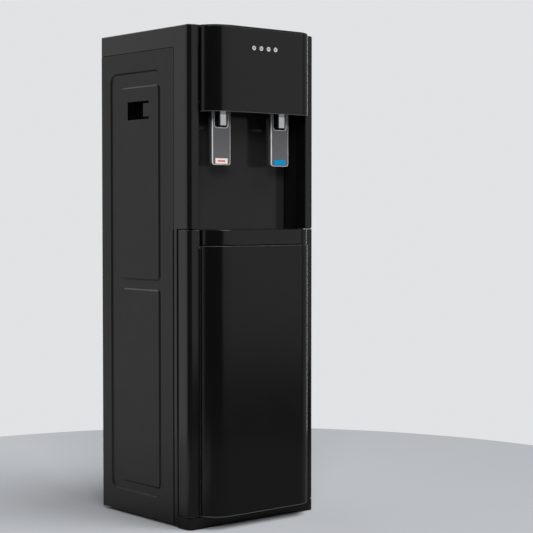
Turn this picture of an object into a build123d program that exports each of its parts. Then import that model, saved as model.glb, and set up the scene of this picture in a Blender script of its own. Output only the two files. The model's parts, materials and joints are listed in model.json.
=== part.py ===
from build123d import *
import os
from math import acos, cos, degrees, radians, sin, sqrt

os.makedirs("parts", exist_ok=True)

# Floor-standing hot and cold water dispenser, plumbed in.
# Millimetres, floor at Z = 0, the front looks along -Y, X = 0 in the middle.

# Overall size
width = 330.0
body_depth = 305.0
bulge = 39.0
height = 1000.0

# Stock thicknesses and clearances
wall = 2.5
skin = 3.0
sheet = 0.8
seam = 0.8
seat = 0.3
press = 0.05
run_fit = 0.1

# Heights of the parts of the front, from the floor up and from the top down
foot_height = 6.0
plinth_gap = 1.0
plinth_height = 23.0
door_gap = 2.0
tray_height = 30.0
niche_height = 232.0
ceiling_rise = 16.0
head_height = 170.0
band_height = 41.0

# Front frame
corner_radius = 12.0
edge_radius = 2.0
stile_width = 25.0
wrap_depth = 50.0
return_depth = 29.0
web = 3.0
nose_gap = 2.0
nose_fullness = 1.27
tray_gap = 4.0
lid_thickness = 3.0
lid_edge = 1.2

# Dispensing niche
niche_taper = 14.0
niche_taper_depth = 19.0
splash_thickness = 2.2
splash_margin = 4.0
tray_ledge = 3.5
grille_slot = (3.4, 24.0)
grille_pitch = 9.4
grille_bar = 3.0

# Door
door_depth = 37.5
hinge_inset = 6.0
hinge_pin_radius = 3.0
hinge_boss_radius = 6.0
hinge_pin_hold = 22.0
hinge_pin_reach = 11.0
latch_edge_radius = 3.0
magnet_size = (9.0, 32.0, 5.0)
magnet_proud = 0.4
catch_thickness = 1.0
liner_margin = 22.0

# Taps and levers, with lengths down from the lever's pivot
tap_inset = 63.0
pivot_drop = 8.0
lever_width = 46.0
lever_thickness = 9.0
lever_front_inset = 8.0
lever_length = 112.0
lever_corner = 5.0
lever_rim = 1.2
window_width = 34.0
window_length = 37.0
window_corner = 6.0
pivot_pin_radius = 2.5
face_thickness = 1.6
marker_height = 11.0
marker_width = 31.0
marker_margin = 2.4
spout_width = 17.0
spout_depth = 23.0
spout_length = 33.0
spout_front_gap = 2.0
outlet_radius = 5.0
tap_body_width = 26.0
tap_body_length = 5.5
stem_radius = 7.0
stem_length = 26.0
nut_radius = 12.0
nut_thickness = 7.0

# Indicator lamps in the fascia
lamp_count = 4
lamp_pitch = 18.7
lamp_offset = -3.0
lamp_drop = 41.5
lamp_ring_radius = 4.5
lamp_lens_radius = 3.0
lamp_proud = 0.5
board_size = (120.0, 52.0)
board_thickness = 1.6
board_boss_length = 7.0
board_boss_radius = 3.0
board_lamp = 4.0
board_plug = (44.0, 9.0, 10.0)
fascia_flange = 23.0
fascia_lug = 12.0

# Side panels
recess_front = -38.0
recess_rear = 140.0
recess_bottom = 50.0
recess_top_drop = 81.0
recess_depth = 3.0
recess_corner = 20.0
field_front = -30.0
field_rear = 98.0
field_bottom = 72.0
field_split_drop = 127.0
field_split = 24.0
field_top_drop = 114.0
field_corner = 6.0
grip_front = 2.0
grip_rear = 77.0
grip_top_drop = 142.0
grip_height = 37.0
tongue_length = 20.0
tongue_slit = 5.0
flange_width = 13.0

# Base
foot_radius = 14.0
foot_inset_x = 25.0
foot_inset_front = 20.0
foot_inset_rear = 25.0
pan_flange = 14.0

# Rear
rear_recess = 13.0
condenser_pitch = 52.0
condenser_bottom = 330.0
condenser_top_gap = 108.0
condenser_inset = 37.0
condenser_tube_radius = 2.5
condenser_wire_radius = 0.9
condenser_wire_count = 21
condenser_standoff = 2.0
saddle_width = 12.0
wire_over = 12.0
screw_radius = 2.0
screw_head_radius = 4.0
screw_head_height = 1.8
socket_inset = 47.0
switch_insets = (37.0, 65.0)
drain_inset = 113.0
inlet_inset = 29.0
socket_cutout = (28.0, 21.0)
switch_cutout = (15.6, 21.6)
fitting_radius = 8.0
fitting_flange = 11.0
tube_bore_radius = 3.2
tube_bore_depth = 15.0
socket_flange = 3.0
socket_depth = 20.0
socket_mouth = (24.0, 16.5)
bezel = 1.4
switch_depth = 12.0
switch_flange = 1.5
rocker_half = 8.0
rocker_width = 12.0
rocker_rise = 4.4
rocker_dip = 3.0
rocker_tilt = 9.0
axle_radius = 1.5
axle_depth = 3.4
cap_radius = 10.0
cap_sides = 8
cap_length = 8.0
drain_stub = 14.0
drain_radius = 7.0
vent_slot = (46.0, 4.0)
vent_pitch = (60.0, 12.0)
vent_rows = 11
inlet_z = 70.0
socket_z = 70.0
switch_z = 130.0
drain_zs = (190.0, 235.0)

# Inner fittings
partition_y = 40.0
shelf_drop = 36.0
shelf_flange = 20.0
tank_clearance = 2.0
tank_gap = 14.0
hot_lagging = 12.0
hot_tank_height = 180.0
jacket_floor = 10.0
band_thickness = 2.2
band_width = 40.0
stub_radius = 6.0
stub_length = 10.0
foam_floor = 15.0
foam_lid = 20.0
foam_wall = 16.0
cold_tank_height = 200.0
cold_block_depth = 164.0
cold_overlap = 5.0
tank_y = 35.0
pipe_radius = 4.0
pipe_bend = 12.0
pipe_sides = 10
pipe_rise = 16.0
riser_gap = 18.0
filter_radius = 31.0
filter_pitch = 96.0
filter_y = 3.0
filter_drop = 56.0
filter_length = 250.0
filter_neck_radius = 17.0
filter_neck_length = 16.0
filter_head_height = 30.0
head_plate = 3.0
filter_shoulder = 8.0
grip_bar = (6.0, 36.0, 9.0)
compressor_radius = 56.0
compressor_height = 150.0
compressor_x = 45.0
compressor_y = 100.0
mount_height = 14.0
mount_radius = 10.0
compressor_feet = (130.0, 84.0)
compressor_plate = 3.0
terminal_box = (24.0, 44.0, 50.0)

# Planes that several pieces share
half = width / 2
y_back = (body_depth + bulge + lamp_proud) / 2
y_face = y_back - body_depth
y_nose = y_face - bulge
fascia_bottom = height - head_height
ceiling_height = fascia_bottom + ceiling_rise
sill_height = fascia_bottom - niche_height
plinth_top = plinth_gap + plinth_height
door_bottom = plinth_top + door_gap
door_top = sill_height - door_gap
tray_bottom = door_top - tray_height
niche_floor = tray_bottom - seat
door_panel_top = tray_bottom - door_gap
door_rail_top = niche_floor - wall - door_gap
band_bottom = height - band_height
x_stile = half - stile_width
y_wrap = y_face + wrap_depth
y_return = y_face + return_depth
y_door_rear = y_face + door_depth
y_jamb = y_door_rear + door_gap
x_nose = x_stile - nose_gap
x_tray = x_stile - tray_gap
x_splash_wall = x_stile - niche_taper
y_splash = y_return + niche_taper_depth
y_panel_front = y_wrap + seam
y_pan_front = y_panel_front + sheet + seat
y_rear_flange = y_back - sheet
y_rear_panel = y_back - rear_recess
y_niche_rear = y_splash + splash_thickness + seat + wall
shelf_top = sill_height - shelf_drop
x_inside = half - sheet - seat
x_shelf = x_inside - recess_depth
hinge_x = half - hinge_inset
hinge_y = y_door_rear - hinge_inset
magnet_height = (door_bottom + door_top) / 2
tap_x = x_stile - tap_inset
y_lever = y_face + lever_front_inset
arm_end_radius = lever_thickness / 2
y_pivot = y_lever + arm_end_radius
pivot_height = ceiling_height - pivot_drop
lever_bottom = pivot_height - lever_length
window_bottom = pivot_height - window_length
spout_bottom = pivot_height - spout_length
tap_body_bottom = pivot_height - tap_body_length
fascia_top = height - lid_thickness - seat
lamp_height = height - lamp_drop
panel_top = band_bottom - seam


def block(x_span, y_span, z_span, mode=Mode.ADD):
    """Box between two limits on each axis."""
    spans = (x_span, y_span, z_span)
    middle = tuple((low + high) / 2 for low, high in spans)
    sizes = tuple(high - low for low, high in spans)
    with Locations(middle):
        Box(*sizes, mode=mode)


def nose_outline(half_width, depth, y_rear):
    """Plan of a flat nose with round ends, a little under a quarter turn, proud of the front frame."""
    y_tip = y_face - depth
    radius = depth * nose_fullness
    turn = degrees(acos(1 - 1 / nose_fullness))
    straight = half_width - radius * sin(radians(turn))
    with BuildSketch() as outline:
        with BuildLine():
            Line((-straight, y_tip), (straight, y_tip))
            right_end = CenterArc((straight, y_tip + radius), radius, 270, turn)
            left_end = CenterArc((-straight, y_tip + radius), radius, 270 - turn, turn)
            if y_rear > y_face:
                Polyline(right_end @ 1, (half_width, y_rear), (-half_width, y_rear), left_end @ 0)
            else:
                Line(right_end @ 1, left_end @ 0)
        make_face()
    return outline.sketch


def frame_outline(inset, y_rear):
    """Plan of the cabinet front with its two rounded vertical corners."""
    half_width = half - inset
    y_front = y_face + inset
    with BuildSketch() as outline:
        with Locations((0, (y_front + y_rear) / 2)):
            Rectangle(2 * half_width, y_rear - y_front)
        fillet(outline.vertices().group_by(Axis.Y)[0], corner_radius - inset)
    return outline.sketch


def upright_plane(x, y):
    """Plane facing the front, with its Y along the object's Z."""
    return Plane(origin=(x, y, 0), x_dir=(1, 0, 0), z_dir=(0, -1, 0))


# Left stile: a channel that wraps the front corner, cut back below for the door
x_stile_mid = (half + x_stile) / 2
with BuildPart() as left_stile:
    with BuildSketch(Plane.XY.offset(sill_height)) as stile_plan:
        with Locations((-x_stile_mid, (y_face + y_wrap) / 2)):
            Rectangle(stile_width, wrap_depth)
        fillet(stile_plan.vertices().group_by(Axis.Y)[0].sort_by(Axis.X)[0], corner_radius)
        fillet(stile_plan.vertices().group_by(Axis.Y)[0].sort_by(Axis.X)[-1], edge_radius)
    extrude(amount=band_bottom - sill_height)
    with BuildSketch(Plane.XY.offset(sill_height + web)) as stile_bore:
        with Locations((-x_stile_mid, (y_face + wall + y_wrap) / 2)):
            Rectangle(stile_width - 2 * wall, wrap_depth - wall)
        fillet(stile_bore.vertices().group_by(Axis.Y)[0].sort_by(Axis.X)[0], corner_radius - wall)
    extrude(amount=band_bottom - sill_height - web, mode=Mode.SUBTRACT)
    block((-x_stile - wall, -x_stile), (y_return, y_wrap), (sill_height + web, band_bottom), Mode.SUBTRACT)
    with BuildSketch(Plane.XY.offset(foot_height)):
        with Locations((-x_stile_mid, (y_jamb + y_wrap) / 2)):
            Rectangle(stile_width, y_wrap - y_jamb)
        with Locations((-x_stile_mid, (y_jamb + wall + y_wrap) / 2)):
            Rectangle(stile_width - 2 * wall, y_wrap - y_jamb - wall, mode=Mode.SUBTRACT)
    extrude(amount=sill_height - foot_height)
left_stile.part.label = "left_stile"
export_step(left_stile.part, "parts/left_stile.step")

# Right stile: the mirror image, with the bush for the upper hinge pin
with BuildPart() as right_stile:
    mirror(left_stile.part, about=Plane.YZ)
    with Locations((hinge_x, hinge_y, sill_height)):
        Cylinder(hinge_boss_radius, hinge_pin_reach, align=(Align.CENTER, Align.CENTER, Align.MIN))
        Cylinder(hinge_pin_radius + run_fit, 2 * hinge_pin_reach + wall, mode=Mode.SUBTRACT)
    block((half, width), (y_face, y_wrap), (sill_height, band_bottom), Mode.SUBTRACT)
right_stile.part.label = "right_stile"
export_step(right_stile.part, "parts/right_stile.step")

# Top cover: skirt round three sides and the stiles, lid with a lip over the fascia
with BuildPart() as top_cover:
    with BuildSketch(Plane.XY.offset(band_bottom)):
        add(frame_outline(0, y_back))
        add(frame_outline(wall, y_back - wall), mode=Mode.SUBTRACT)
    extrude(amount=band_height - lid_thickness)
    block((-x_stile, x_stile), (y_face, y_face + wall), (band_bottom, height), Mode.SUBTRACT)
    with BuildSketch(Plane.XY.offset(height - lid_thickness)):
        add(frame_outline(0, y_back))
        add(nose_outline(x_nose, bulge, y_face + wall))
    extrude(amount=lid_thickness)
    chamfer(top_cover.faces().sort_by(Axis.Z)[-1].outer_wire().edges(), lid_edge)
top_cover.part.label = "top_cover"
export_step(top_cover.part, "parts/top_cover.step")

# Fascia: the head cover with lamp holes, board bosses and snap lugs
fascia_flange_rear = y_face + fascia_flange
lamp_xs = [lamp_offset + lamp_pitch * (i - (lamp_count - 1) / 2) for i in range(lamp_count)]
board_holes_x = board_size[0] / 2 - 2 * board_boss_radius
board_holes_z = board_size[1] / 2 - 2 * board_boss_radius
y_board = y_nose + skin + board_boss_length
board_mid = lamp_height - 3 * lamp_ring_radius
with BuildPart() as fascia:
    with BuildSketch(Plane.XY.offset(fascia_bottom)):
        add(nose_outline(x_nose, bulge, fascia_flange_rear))
    extrude(amount=fascia_top - fascia_bottom)
    with BuildSketch(Plane.XY.offset(fascia_bottom + skin)):
        add(nose_outline(x_nose - skin, bulge - skin, fascia_flange_rear))
    extrude(amount=fascia_top - fascia_bottom, mode=Mode.SUBTRACT)
    block((-half, half), (y_face, y_back), (fascia_bottom, ceiling_height + 2 * wall), Mode.SUBTRACT)
    block((-x_nose + skin, x_nose - skin), (y_face - wall, y_face), (fascia_bottom, ceiling_height + wall))
    for side in (-1, 1):
        for lug_z in (ceiling_height + 2 * fascia_lug, band_bottom - 2 * fascia_lug):
            lug_inner = side * (x_nose - skin / 2)
            lug_outer = side * (x_stile - seat)
            lug_x = (min(lug_inner, lug_outer), max(lug_inner, lug_outer))
            block(lug_x, (fascia_flange_rear - fascia_lug, fascia_flange_rear), (lug_z, lug_z + fascia_lug))
    for x in lamp_xs:
        with BuildSketch(upright_plane(x, y_nose)):
            with Locations((0, lamp_height)):
                Circle(lamp_ring_radius + press)
        extrude(amount=-skin, mode=Mode.SUBTRACT)
    with BuildSketch(upright_plane(0, y_nose + skin)):
        with Locations((0, board_mid)):
            with GridLocations(2 * board_holes_x, 2 * board_holes_z, 2, 2):
                Circle(board_boss_radius)
    extrude(amount=-board_boss_length)
fascia.part.label = "fascia"
export_step(fascia.part, "parts/fascia.step")

# Lamp rings and lenses, pressed into the fascia
with BuildPart() as lamp_rings:
    for x in lamp_xs:
        with BuildSketch(upright_plane(x, y_nose - lamp_proud)):
            with Locations((0, lamp_height)):
                Circle(lamp_ring_radius)
                Circle(lamp_lens_radius + press, mode=Mode.SUBTRACT)
        extrude(amount=-skin - lamp_proud)
lamp_rings.part.label = "lamp_rings"
export_step(lamp_rings.part, "parts/lamp_rings.step")

with BuildPart() as lamp_lenses:
    for x in lamp_xs:
        with BuildSketch(upright_plane(x, y_nose)):
            with Locations((0, lamp_height)):
                Circle(lamp_lens_radius)
        extrude(amount=-skin)
lamp_lenses.part.label = "lamp_lenses"
export_step(lamp_lenses.part, "parts/lamp_lenses.step")

# Control board on the fascia bosses, with its lamps and connector
with BuildPart() as control_board:
    with BuildSketch(upright_plane(0, y_board)):
        with Locations((0, board_mid)):
            Rectangle(*board_size)
    extrude(amount=-board_thickness)
    y_board_rear = y_board + board_thickness
    for x in lamp_xs:
        with Locations((x, y_board, lamp_height)):
            Box(
                board_lamp,
                board_boss_length - seat,
                board_lamp,
                align=(Align.CENTER, Align.MAX, Align.CENTER),
            )
    with Locations((0, y_board_rear, board_mid - board_size[1] / 4)):
        Box(*board_plug, align=(Align.CENTER, Align.MIN, Align.CENTER))
control_board.part.label = "control_board"
export_step(control_board.part, "parts/control_board.step")

# Niche housing: ceiling, tapered cheeks, back wall and floor under the tray
y_ceiling_front = y_face + seat
with BuildPart() as niche_housing:
    with BuildSketch(Plane.XY.offset(niche_floor - wall)) as cheek_plan:
        with BuildLine():
            Polyline(
                (-x_stile, y_return + seat),
                (-x_splash_wall, y_splash),
                (-x_splash_wall, y_niche_rear - wall),
                (x_splash_wall, y_niche_rear - wall),
                (x_splash_wall, y_splash),
                (x_stile, y_return + seat),
                (x_stile + wall, y_return + seat),
                (x_splash_wall + wall, y_splash + wall / 2),
                (x_splash_wall + wall, y_niche_rear),
                (-x_splash_wall - wall, y_niche_rear),
                (-x_splash_wall - wall, y_splash + wall / 2),
                (-x_stile - wall, y_return + seat),
                close=True,
            )
        make_face()
    extrude(amount=ceiling_height + 2 * wall - niche_floor)
    block((-half, -x_tray), (y_face, y_jamb + door_gap), (0, sill_height + web + seat), Mode.SUBTRACT)
    block((x_tray, half), (y_face, y_jamb + door_gap), (0, sill_height + web + seat), Mode.SUBTRACT)
    block((-half, -x_stile + seat), (y_face, y_wrap + seat), (0, sill_height + web + seat), Mode.SUBTRACT)
    block((x_stile - seat, half), (y_face, y_wrap + seat), (0, sill_height + web + seat), Mode.SUBTRACT)
    with BuildSketch(Plane.XY.offset(ceiling_height)):
        with BuildLine():
            Polyline(
                (-x_stile + seat, y_ceiling_front),
                (x_stile - seat, y_ceiling_front),
                (x_stile - seat, y_return + seat),
                (x_splash_wall + wall, y_splash + wall / 2),
                (x_splash_wall + wall, y_niche_rear),
                (-x_splash_wall - wall, y_niche_rear),
                (-x_splash_wall - wall, y_splash + wall / 2),
                (-x_stile + seat, y_return + seat),
                close=True,
            )
        make_face()
        with Locations((-tap_x, y_pivot), (tap_x, y_pivot)):
            Circle(stem_radius + seat, mode=Mode.SUBTRACT)
    extrude(amount=wall)
    block((-x_tray, x_tray), (y_ceiling_front, y_return + seat), (niche_floor - wall, niche_floor))
    block((-x_splash_wall, x_splash_wall), (y_return, y_niche_rear), (niche_floor - wall, niche_floor))
niche_housing.part.label = "niche_housing"
export_step(niche_housing.part, "parts/niche_housing.step")

# Splash panel on the back wall of the niche
x_splash = x_splash_wall - splash_margin
with BuildPart() as splash_panel:
    block(
        (-x_splash, x_splash),
        (y_splash, y_splash + splash_thickness),
        (niche_floor + seat, ceiling_height - seat),
    )
    chamfer(splash_panel.faces().sort_by(Axis.Y)[0].edges(), splash_thickness / 4)
splash_panel.part.label = "splash_panel"
export_step(splash_panel.part, "parts/splash_panel.step")

# Taps, levers, faces, markers, pins and nuts, hot on the left and cold on the right
y_spout = y_face + spout_front_gap
arm_inner = window_width / 2
face_bottom = lever_bottom + lever_rim
face_top = fascia_bottom
marker_mid = lever_bottom + marker_margin + marker_height / 2


def face_outline(gap):
    """Front of a lever inside its rim, from the bottom up both arms, with the marker's hole."""
    width_inside = lever_width - 2 * (lever_rim + gap)
    low = face_bottom + gap
    high = face_top - gap
    with BuildSketch() as outline:
        with Locations((0, (low + high) / 2)):
            Rectangle(width_inside, high - low)
        fillet(outline.vertices().group_by(Axis.Y)[0], lever_corner - lever_rim - gap)
        window_low = window_bottom - lever_rim - gap
        with BuildSketch(mode=Mode.PRIVATE) as window:
            with Locations((0, (window_low + ceiling_height) / 2)):
                Rectangle(window_width + 2 * (lever_rim + gap), ceiling_height - window_low)
            fillet(window.vertices().group_by(Axis.Y)[0], window_corner + lever_rim + gap)
        add(window.sketch, mode=Mode.SUBTRACT)
    return outline.sketch


for side, tap_name in ((-1, "hot"), (1, "cold")):
    x_tap = side * tap_x

    with BuildPart() as tap:
        block(
            (x_tap - tap_body_width / 2, x_tap + tap_body_width / 2),
            (y_spout, y_spout + spout_depth),
            (tap_body_bottom, ceiling_height),
        )
        with BuildSketch(Plane.XY.offset(spout_bottom)):
            with Locations((x_tap, y_spout + spout_depth / 2)):
                RectangleRounded(spout_width, spout_depth, edge_radius)
        extrude(amount=tap_body_bottom - spout_bottom)
        with Locations((x_tap, y_spout + spout_depth / 2, spout_bottom)):
            Cylinder(outlet_radius, 2 * edge_radius + pivot_height - tap_body_bottom, mode=Mode.SUBTRACT)
        with Locations((x_tap, y_pivot, ceiling_height)):
            Cylinder(stem_radius, stem_length, align=(Align.CENTER, Align.CENTER, Align.MIN))
        with Locations((x_tap, y_pivot, pivot_height)):
            Cylinder(pivot_pin_radius + press, width / 4, rotation=(0, 90, 0), mode=Mode.SUBTRACT)
    tap.part.label = tap_name + "_tap"
    export_step(tap.part, "parts/" + tap_name + "_tap.step")

    with BuildPart() as lever:
        with BuildSketch(upright_plane(x_tap, y_lever)) as lever_front:
            with Locations((0, (lever_bottom + pivot_height) / 2)):
                Rectangle(lever_width, pivot_height - lever_bottom)
            fillet(lever_front.vertices().group_by(Axis.Y)[0], lever_corner)
        extrude(amount=-lever_thickness)
        with BuildSketch(upright_plane(x_tap, y_lever)) as window:
            with Locations((0, (window_bottom + pivot_height) / 2)):
                Rectangle(window_width, pivot_height - window_bottom)
            fillet(window.vertices().group_by(Axis.Y)[0], window_corner)
        extrude(amount=-lever_thickness, mode=Mode.SUBTRACT)
        for arm in (-1, 1):
            arm_middle = x_tap + arm * (lever_width / 2 + arm_inner) / 2
            with Locations((arm_middle, y_pivot, pivot_height)):
                Cylinder(arm_end_radius, lever_width / 2 - arm_inner, rotation=(0, 90, 0))
        with Locations((x_tap, y_pivot, pivot_height)):
            Cylinder(pivot_pin_radius + run_fit, 2 * lever_width, rotation=(0, 90, 0), mode=Mode.SUBTRACT)
        with BuildSketch(upright_plane(x_tap, y_lever)):
            add(face_outline(0))
        extrude(amount=-face_thickness, mode=Mode.SUBTRACT)
    lever.part.label = tap_name + "_lever"
    export_step(lever.part, "parts/" + tap_name + "_lever.step")

    with BuildPart() as lever_face:
        with BuildSketch(upright_plane(x_tap, y_lever + seat)):
            add(face_outline(press))
            with Locations((0, marker_mid)):
                Rectangle(marker_width, marker_height, mode=Mode.SUBTRACT)
        extrude(amount=-face_thickness + seat)
    lever_face.part.label = tap_name + "_lever_face"
    export_step(lever_face.part, "parts/" + tap_name + "_lever_face.step")

    with BuildPart() as marker:
        with BuildSketch(upright_plane(x_tap, y_lever)):
            with Locations((0, marker_mid)):
                Rectangle(marker_width - 2 * press, marker_height - 2 * press)
        extrude(amount=-face_thickness)
    marker.part.label = tap_name + "_marker"
    export_step(marker.part, "parts/" + tap_name + "_marker.step")

# Nuts that hold the taps to the ceiling, and the pins the levers swing on
with BuildPart() as tap_nuts:
    for x in (-tap_x, tap_x):
        with BuildSketch(Plane.XY.offset(ceiling_height + wall)):
            with Locations((x, y_pivot)):
                RegularPolygon(nut_radius, 6)
                Circle(stem_radius + press, mode=Mode.SUBTRACT)
        extrude(amount=nut_thickness)
tap_nuts.part.label = "tap_nuts"
export_step(tap_nuts.part, "parts/tap_nuts.step")

with BuildPart() as lever_pins:
    for x in (-tap_x, tap_x):
        with Locations((x, y_pivot, pivot_height)):
            Cylinder(pivot_pin_radius, lever_width, rotation=(0, 90, 0))
lever_pins.part.label = "lever_pins"
export_step(lever_pins.part, "parts/lever_pins.step")

# Drip tray: its nose continues the door's curve, its basin fills the niche floor
tray_rear = y_splash - splash_margin
with BuildSketch() as tray_plan:
    add(nose_outline(x_tray, bulge, y_return))
    with BuildLine():
        Polyline(
            (-x_tray, y_return),
            (x_tray, y_return),
            (x_splash, tray_rear),
            (-x_splash, tray_rear),
            close=True,
        )
    make_face()
with BuildPart() as drip_tray:
    with BuildSketch(Plane.XY.offset(tray_bottom)):
        add(tray_plan.sketch)
    extrude(amount=tray_height)
    with BuildSketch(Plane.XY.offset(tray_bottom + wall)):
        add(tray_plan.sketch)
        offset(amount=-2 * wall, mode=Mode.REPLACE)
    extrude(amount=tray_height, mode=Mode.SUBTRACT)
    with BuildSketch(Plane.XY.offset(door_top - tray_ledge)):
        add(tray_plan.sketch)
        offset(amount=-wall, mode=Mode.REPLACE)
    extrude(amount=tray_ledge, mode=Mode.SUBTRACT)
drip_tray.part.label = "drip_tray"
export_step(drip_tray.part, "parts/drip_tray.step")

# Drip grille, lying on the tray's ledge
grille_rows_y = (y_face - grille_bar - grille_slot[1] / 2, y_face + grille_bar + grille_slot[1] / 2)
grille_count = int(2 * (x_tray - bulge) / grille_pitch) + 1
with BuildPart() as drip_grille:
    with BuildSketch(Plane.XY.offset(door_top - tray_ledge + seat / 3)):
        add(tray_plan.sketch)
        offset(amount=-wall - seat, mode=Mode.REPLACE)
        for row_y in grille_rows_y:
            with Locations((0, row_y)):
                with GridLocations(grille_pitch, grille_pitch, grille_count, 1):
                    Rectangle(*grille_slot, mode=Mode.SUBTRACT)
    extrude(amount=tray_ledge - seat)
drip_grille.part.label = "drip_grille"
export_step(drip_grille.part, "parts/drip_grille.step")

# Door frame: a pan behind the bulged panel, notched at the top for the tray
cavity_rear = y_door_rear - wall
cavity_bottom = door_bottom + wall
with BuildPart() as door_frame:
    with BuildSketch(Plane.XY.offset(door_bottom)) as door_plan:
        add(frame_outline(0, y_door_rear))
        fillet(door_plan.vertices().group_by(Axis.Y)[-1].sort_by(Axis.X)[-1], hinge_inset)
        fillet(door_plan.vertices().group_by(Axis.Y)[-1].sort_by(Axis.X)[0], latch_edge_radius)
    extrude(amount=door_top - door_bottom)
    block((-x_stile, x_stile), (y_face, y_door_rear), (door_rail_top, door_top), Mode.SUBTRACT)
    with BuildSketch(Plane.XY.offset(cavity_bottom)):
        add(frame_outline(wall, cavity_rear))
    extrude(amount=door_rail_top - wall - cavity_bottom, mode=Mode.SUBTRACT)
    with BuildSketch(Plane.XY.offset(cavity_bottom)):
        add(frame_outline(wall, cavity_rear))
        with Locations((0, (y_face + cavity_rear) / 2)):
            Rectangle(2 * (x_stile + wall), cavity_rear - y_face, mode=Mode.SUBTRACT)
    extrude(amount=door_top - wall - cavity_bottom, mode=Mode.SUBTRACT)
    block(
        (-x_stile, x_stile),
        (cavity_rear, y_door_rear),
        (cavity_bottom, door_rail_top - wall),
        Mode.SUBTRACT,
    )
    with Locations((hinge_x, hinge_y, door_bottom)):
        Cylinder(hinge_boss_radius, hinge_pin_hold, align=(Align.CENTER, Align.CENTER, Align.MIN))
        Cylinder(
            hinge_pin_radius + run_fit,
            hinge_pin_hold - wall,
            align=(Align.CENTER, Align.CENTER, Align.MIN),
            mode=Mode.SUBTRACT,
        )
    with Locations((hinge_x, hinge_y, door_top)):
        Cylinder(hinge_boss_radius, hinge_pin_hold, align=(Align.CENTER, Align.CENTER, Align.MAX))
        Cylinder(
            hinge_pin_radius + press,
            hinge_pin_hold - wall,
            align=(Align.CENTER, Align.CENTER, Align.MAX),
            mode=Mode.SUBTRACT,
        )
    magnet_x = -x_stile_mid
    block(
        (magnet_x - magnet_size[0] / 2 - press, magnet_x + magnet_size[0] / 2 + press),
        (cavity_rear, y_door_rear),
        (magnet_height - magnet_size[1] / 2 - press, magnet_height + magnet_size[1] / 2 + press),
        Mode.SUBTRACT,
    )
door_frame.part.label = "door_frame"
export_step(door_frame.part, "parts/door_frame.step")

# Door panel: the bulged glossy front, a shell closed at both ends
with BuildPart() as door_panel:
    with BuildSketch(Plane.XY.offset(door_bottom)):
        add(nose_outline(x_nose, bulge, y_face))
    extrude(amount=door_panel_top - door_bottom)
    with BuildSketch(Plane.XY.offset(door_bottom + skin)):
        add(nose_outline(x_nose - skin, bulge - skin, y_face))
    extrude(amount=door_panel_top - door_bottom - 2 * skin, mode=Mode.SUBTRACT)
door_panel.part.label = "door_panel"
export_step(door_panel.part, "parts/door_panel.step")

# Door liner, closing the pan from the inside, with a shallow pressed field
with BuildPart() as door_liner:
    block(
        (-x_stile + seat, x_stile - seat),
        (cavity_rear, y_door_rear),
        (cavity_bottom + seat, door_rail_top - wall - seat),
    )
    block(
        (-x_stile + liner_margin, x_stile - liner_margin),
        (y_door_rear - wall / 2, y_door_rear),
        (cavity_bottom + liner_margin, door_rail_top - wall - liner_margin),
        Mode.SUBTRACT,
    )
door_liner.part.label = "door_liner"
export_step(door_liner.part, "parts/door_liner.step")

# Hinge pins: the upper one is fast in the door, the lower one in the plinth
with BuildPart() as upper_hinge_pin:
    with Locations((hinge_x, hinge_y, door_top - hinge_pin_hold + wall)):
        Cylinder(
            hinge_pin_radius,
            hinge_pin_hold - wall + door_gap + hinge_pin_reach,
            align=(Align.CENTER, Align.CENTER, Align.MIN),
        )
upper_hinge_pin.part.label = "upper_hinge_pin"
export_step(upper_hinge_pin.part, "parts/upper_hinge_pin.step")

with BuildPart() as lower_hinge_pin:
    with Locations((hinge_x, hinge_y, plinth_gap + wall)):
        Cylinder(
            hinge_pin_radius,
            plinth_height - wall + door_gap + hinge_pin_hold - wall - seat,
            align=(Align.CENTER, Align.CENTER, Align.MIN),
        )
lower_hinge_pin.part.label = "lower_hinge_pin"
export_step(lower_hinge_pin.part, "parts/lower_hinge_pin.step")

# Magnetic catch: magnet in the door, striker plate on the left stile
with BuildPart() as door_magnet:
    block(
        (magnet_x - magnet_size[0] / 2, magnet_x + magnet_size[0] / 2),
        (y_door_rear + magnet_proud - magnet_size[2], y_door_rear + magnet_proud),
        (magnet_height - magnet_size[1] / 2, magnet_height + magnet_size[1] / 2),
    )
door_magnet.part.label = "door_magnet"
export_step(door_magnet.part, "parts/door_magnet.step")

with BuildPart() as catch_plate:
    block(
        (magnet_x - magnet_size[0], magnet_x + magnet_size[0]),
        (y_jamb - catch_thickness, y_jamb),
        (magnet_height - magnet_size[1], magnet_height + magnet_size[1]),
    )
    fillet(catch_plate.edges().filter_by(Axis.Y), edge_radius)
catch_plate.part.label = "catch_plate"
export_step(catch_plate.part, "parts/catch_plate.step")

# Plinth under the door, with the sill and the boss of the lower hinge pin
with BuildPart() as plinth:
    with BuildSketch(Plane.XY.offset(plinth_gap)):
        add(frame_outline(0, y_jamb - seat))
    extrude(amount=plinth_height)
    with BuildSketch(Plane.XY.offset(plinth_gap)):
        add(frame_outline(wall, y_jamb - seat))
    extrude(amount=plinth_height - wall, mode=Mode.SUBTRACT)
    block((-x_stile + seat, x_stile - seat), (y_jamb - wall, y_pan_front), (plinth_top - wall, plinth_top))
    with Locations((hinge_x, hinge_y, plinth_gap + wall)):
        Cylinder(hinge_boss_radius, plinth_height - wall, align=(Align.CENTER, Align.CENTER, Align.MIN))
        Cylinder(hinge_pin_radius + press, 2 * plinth_height, mode=Mode.SUBTRACT)
    block((half, width), (y_face, y_jamb), (0, plinth_top), Mode.SUBTRACT)
plinth.part.label = "plinth"
export_step(plinth.part, "parts/plinth.step")

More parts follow.
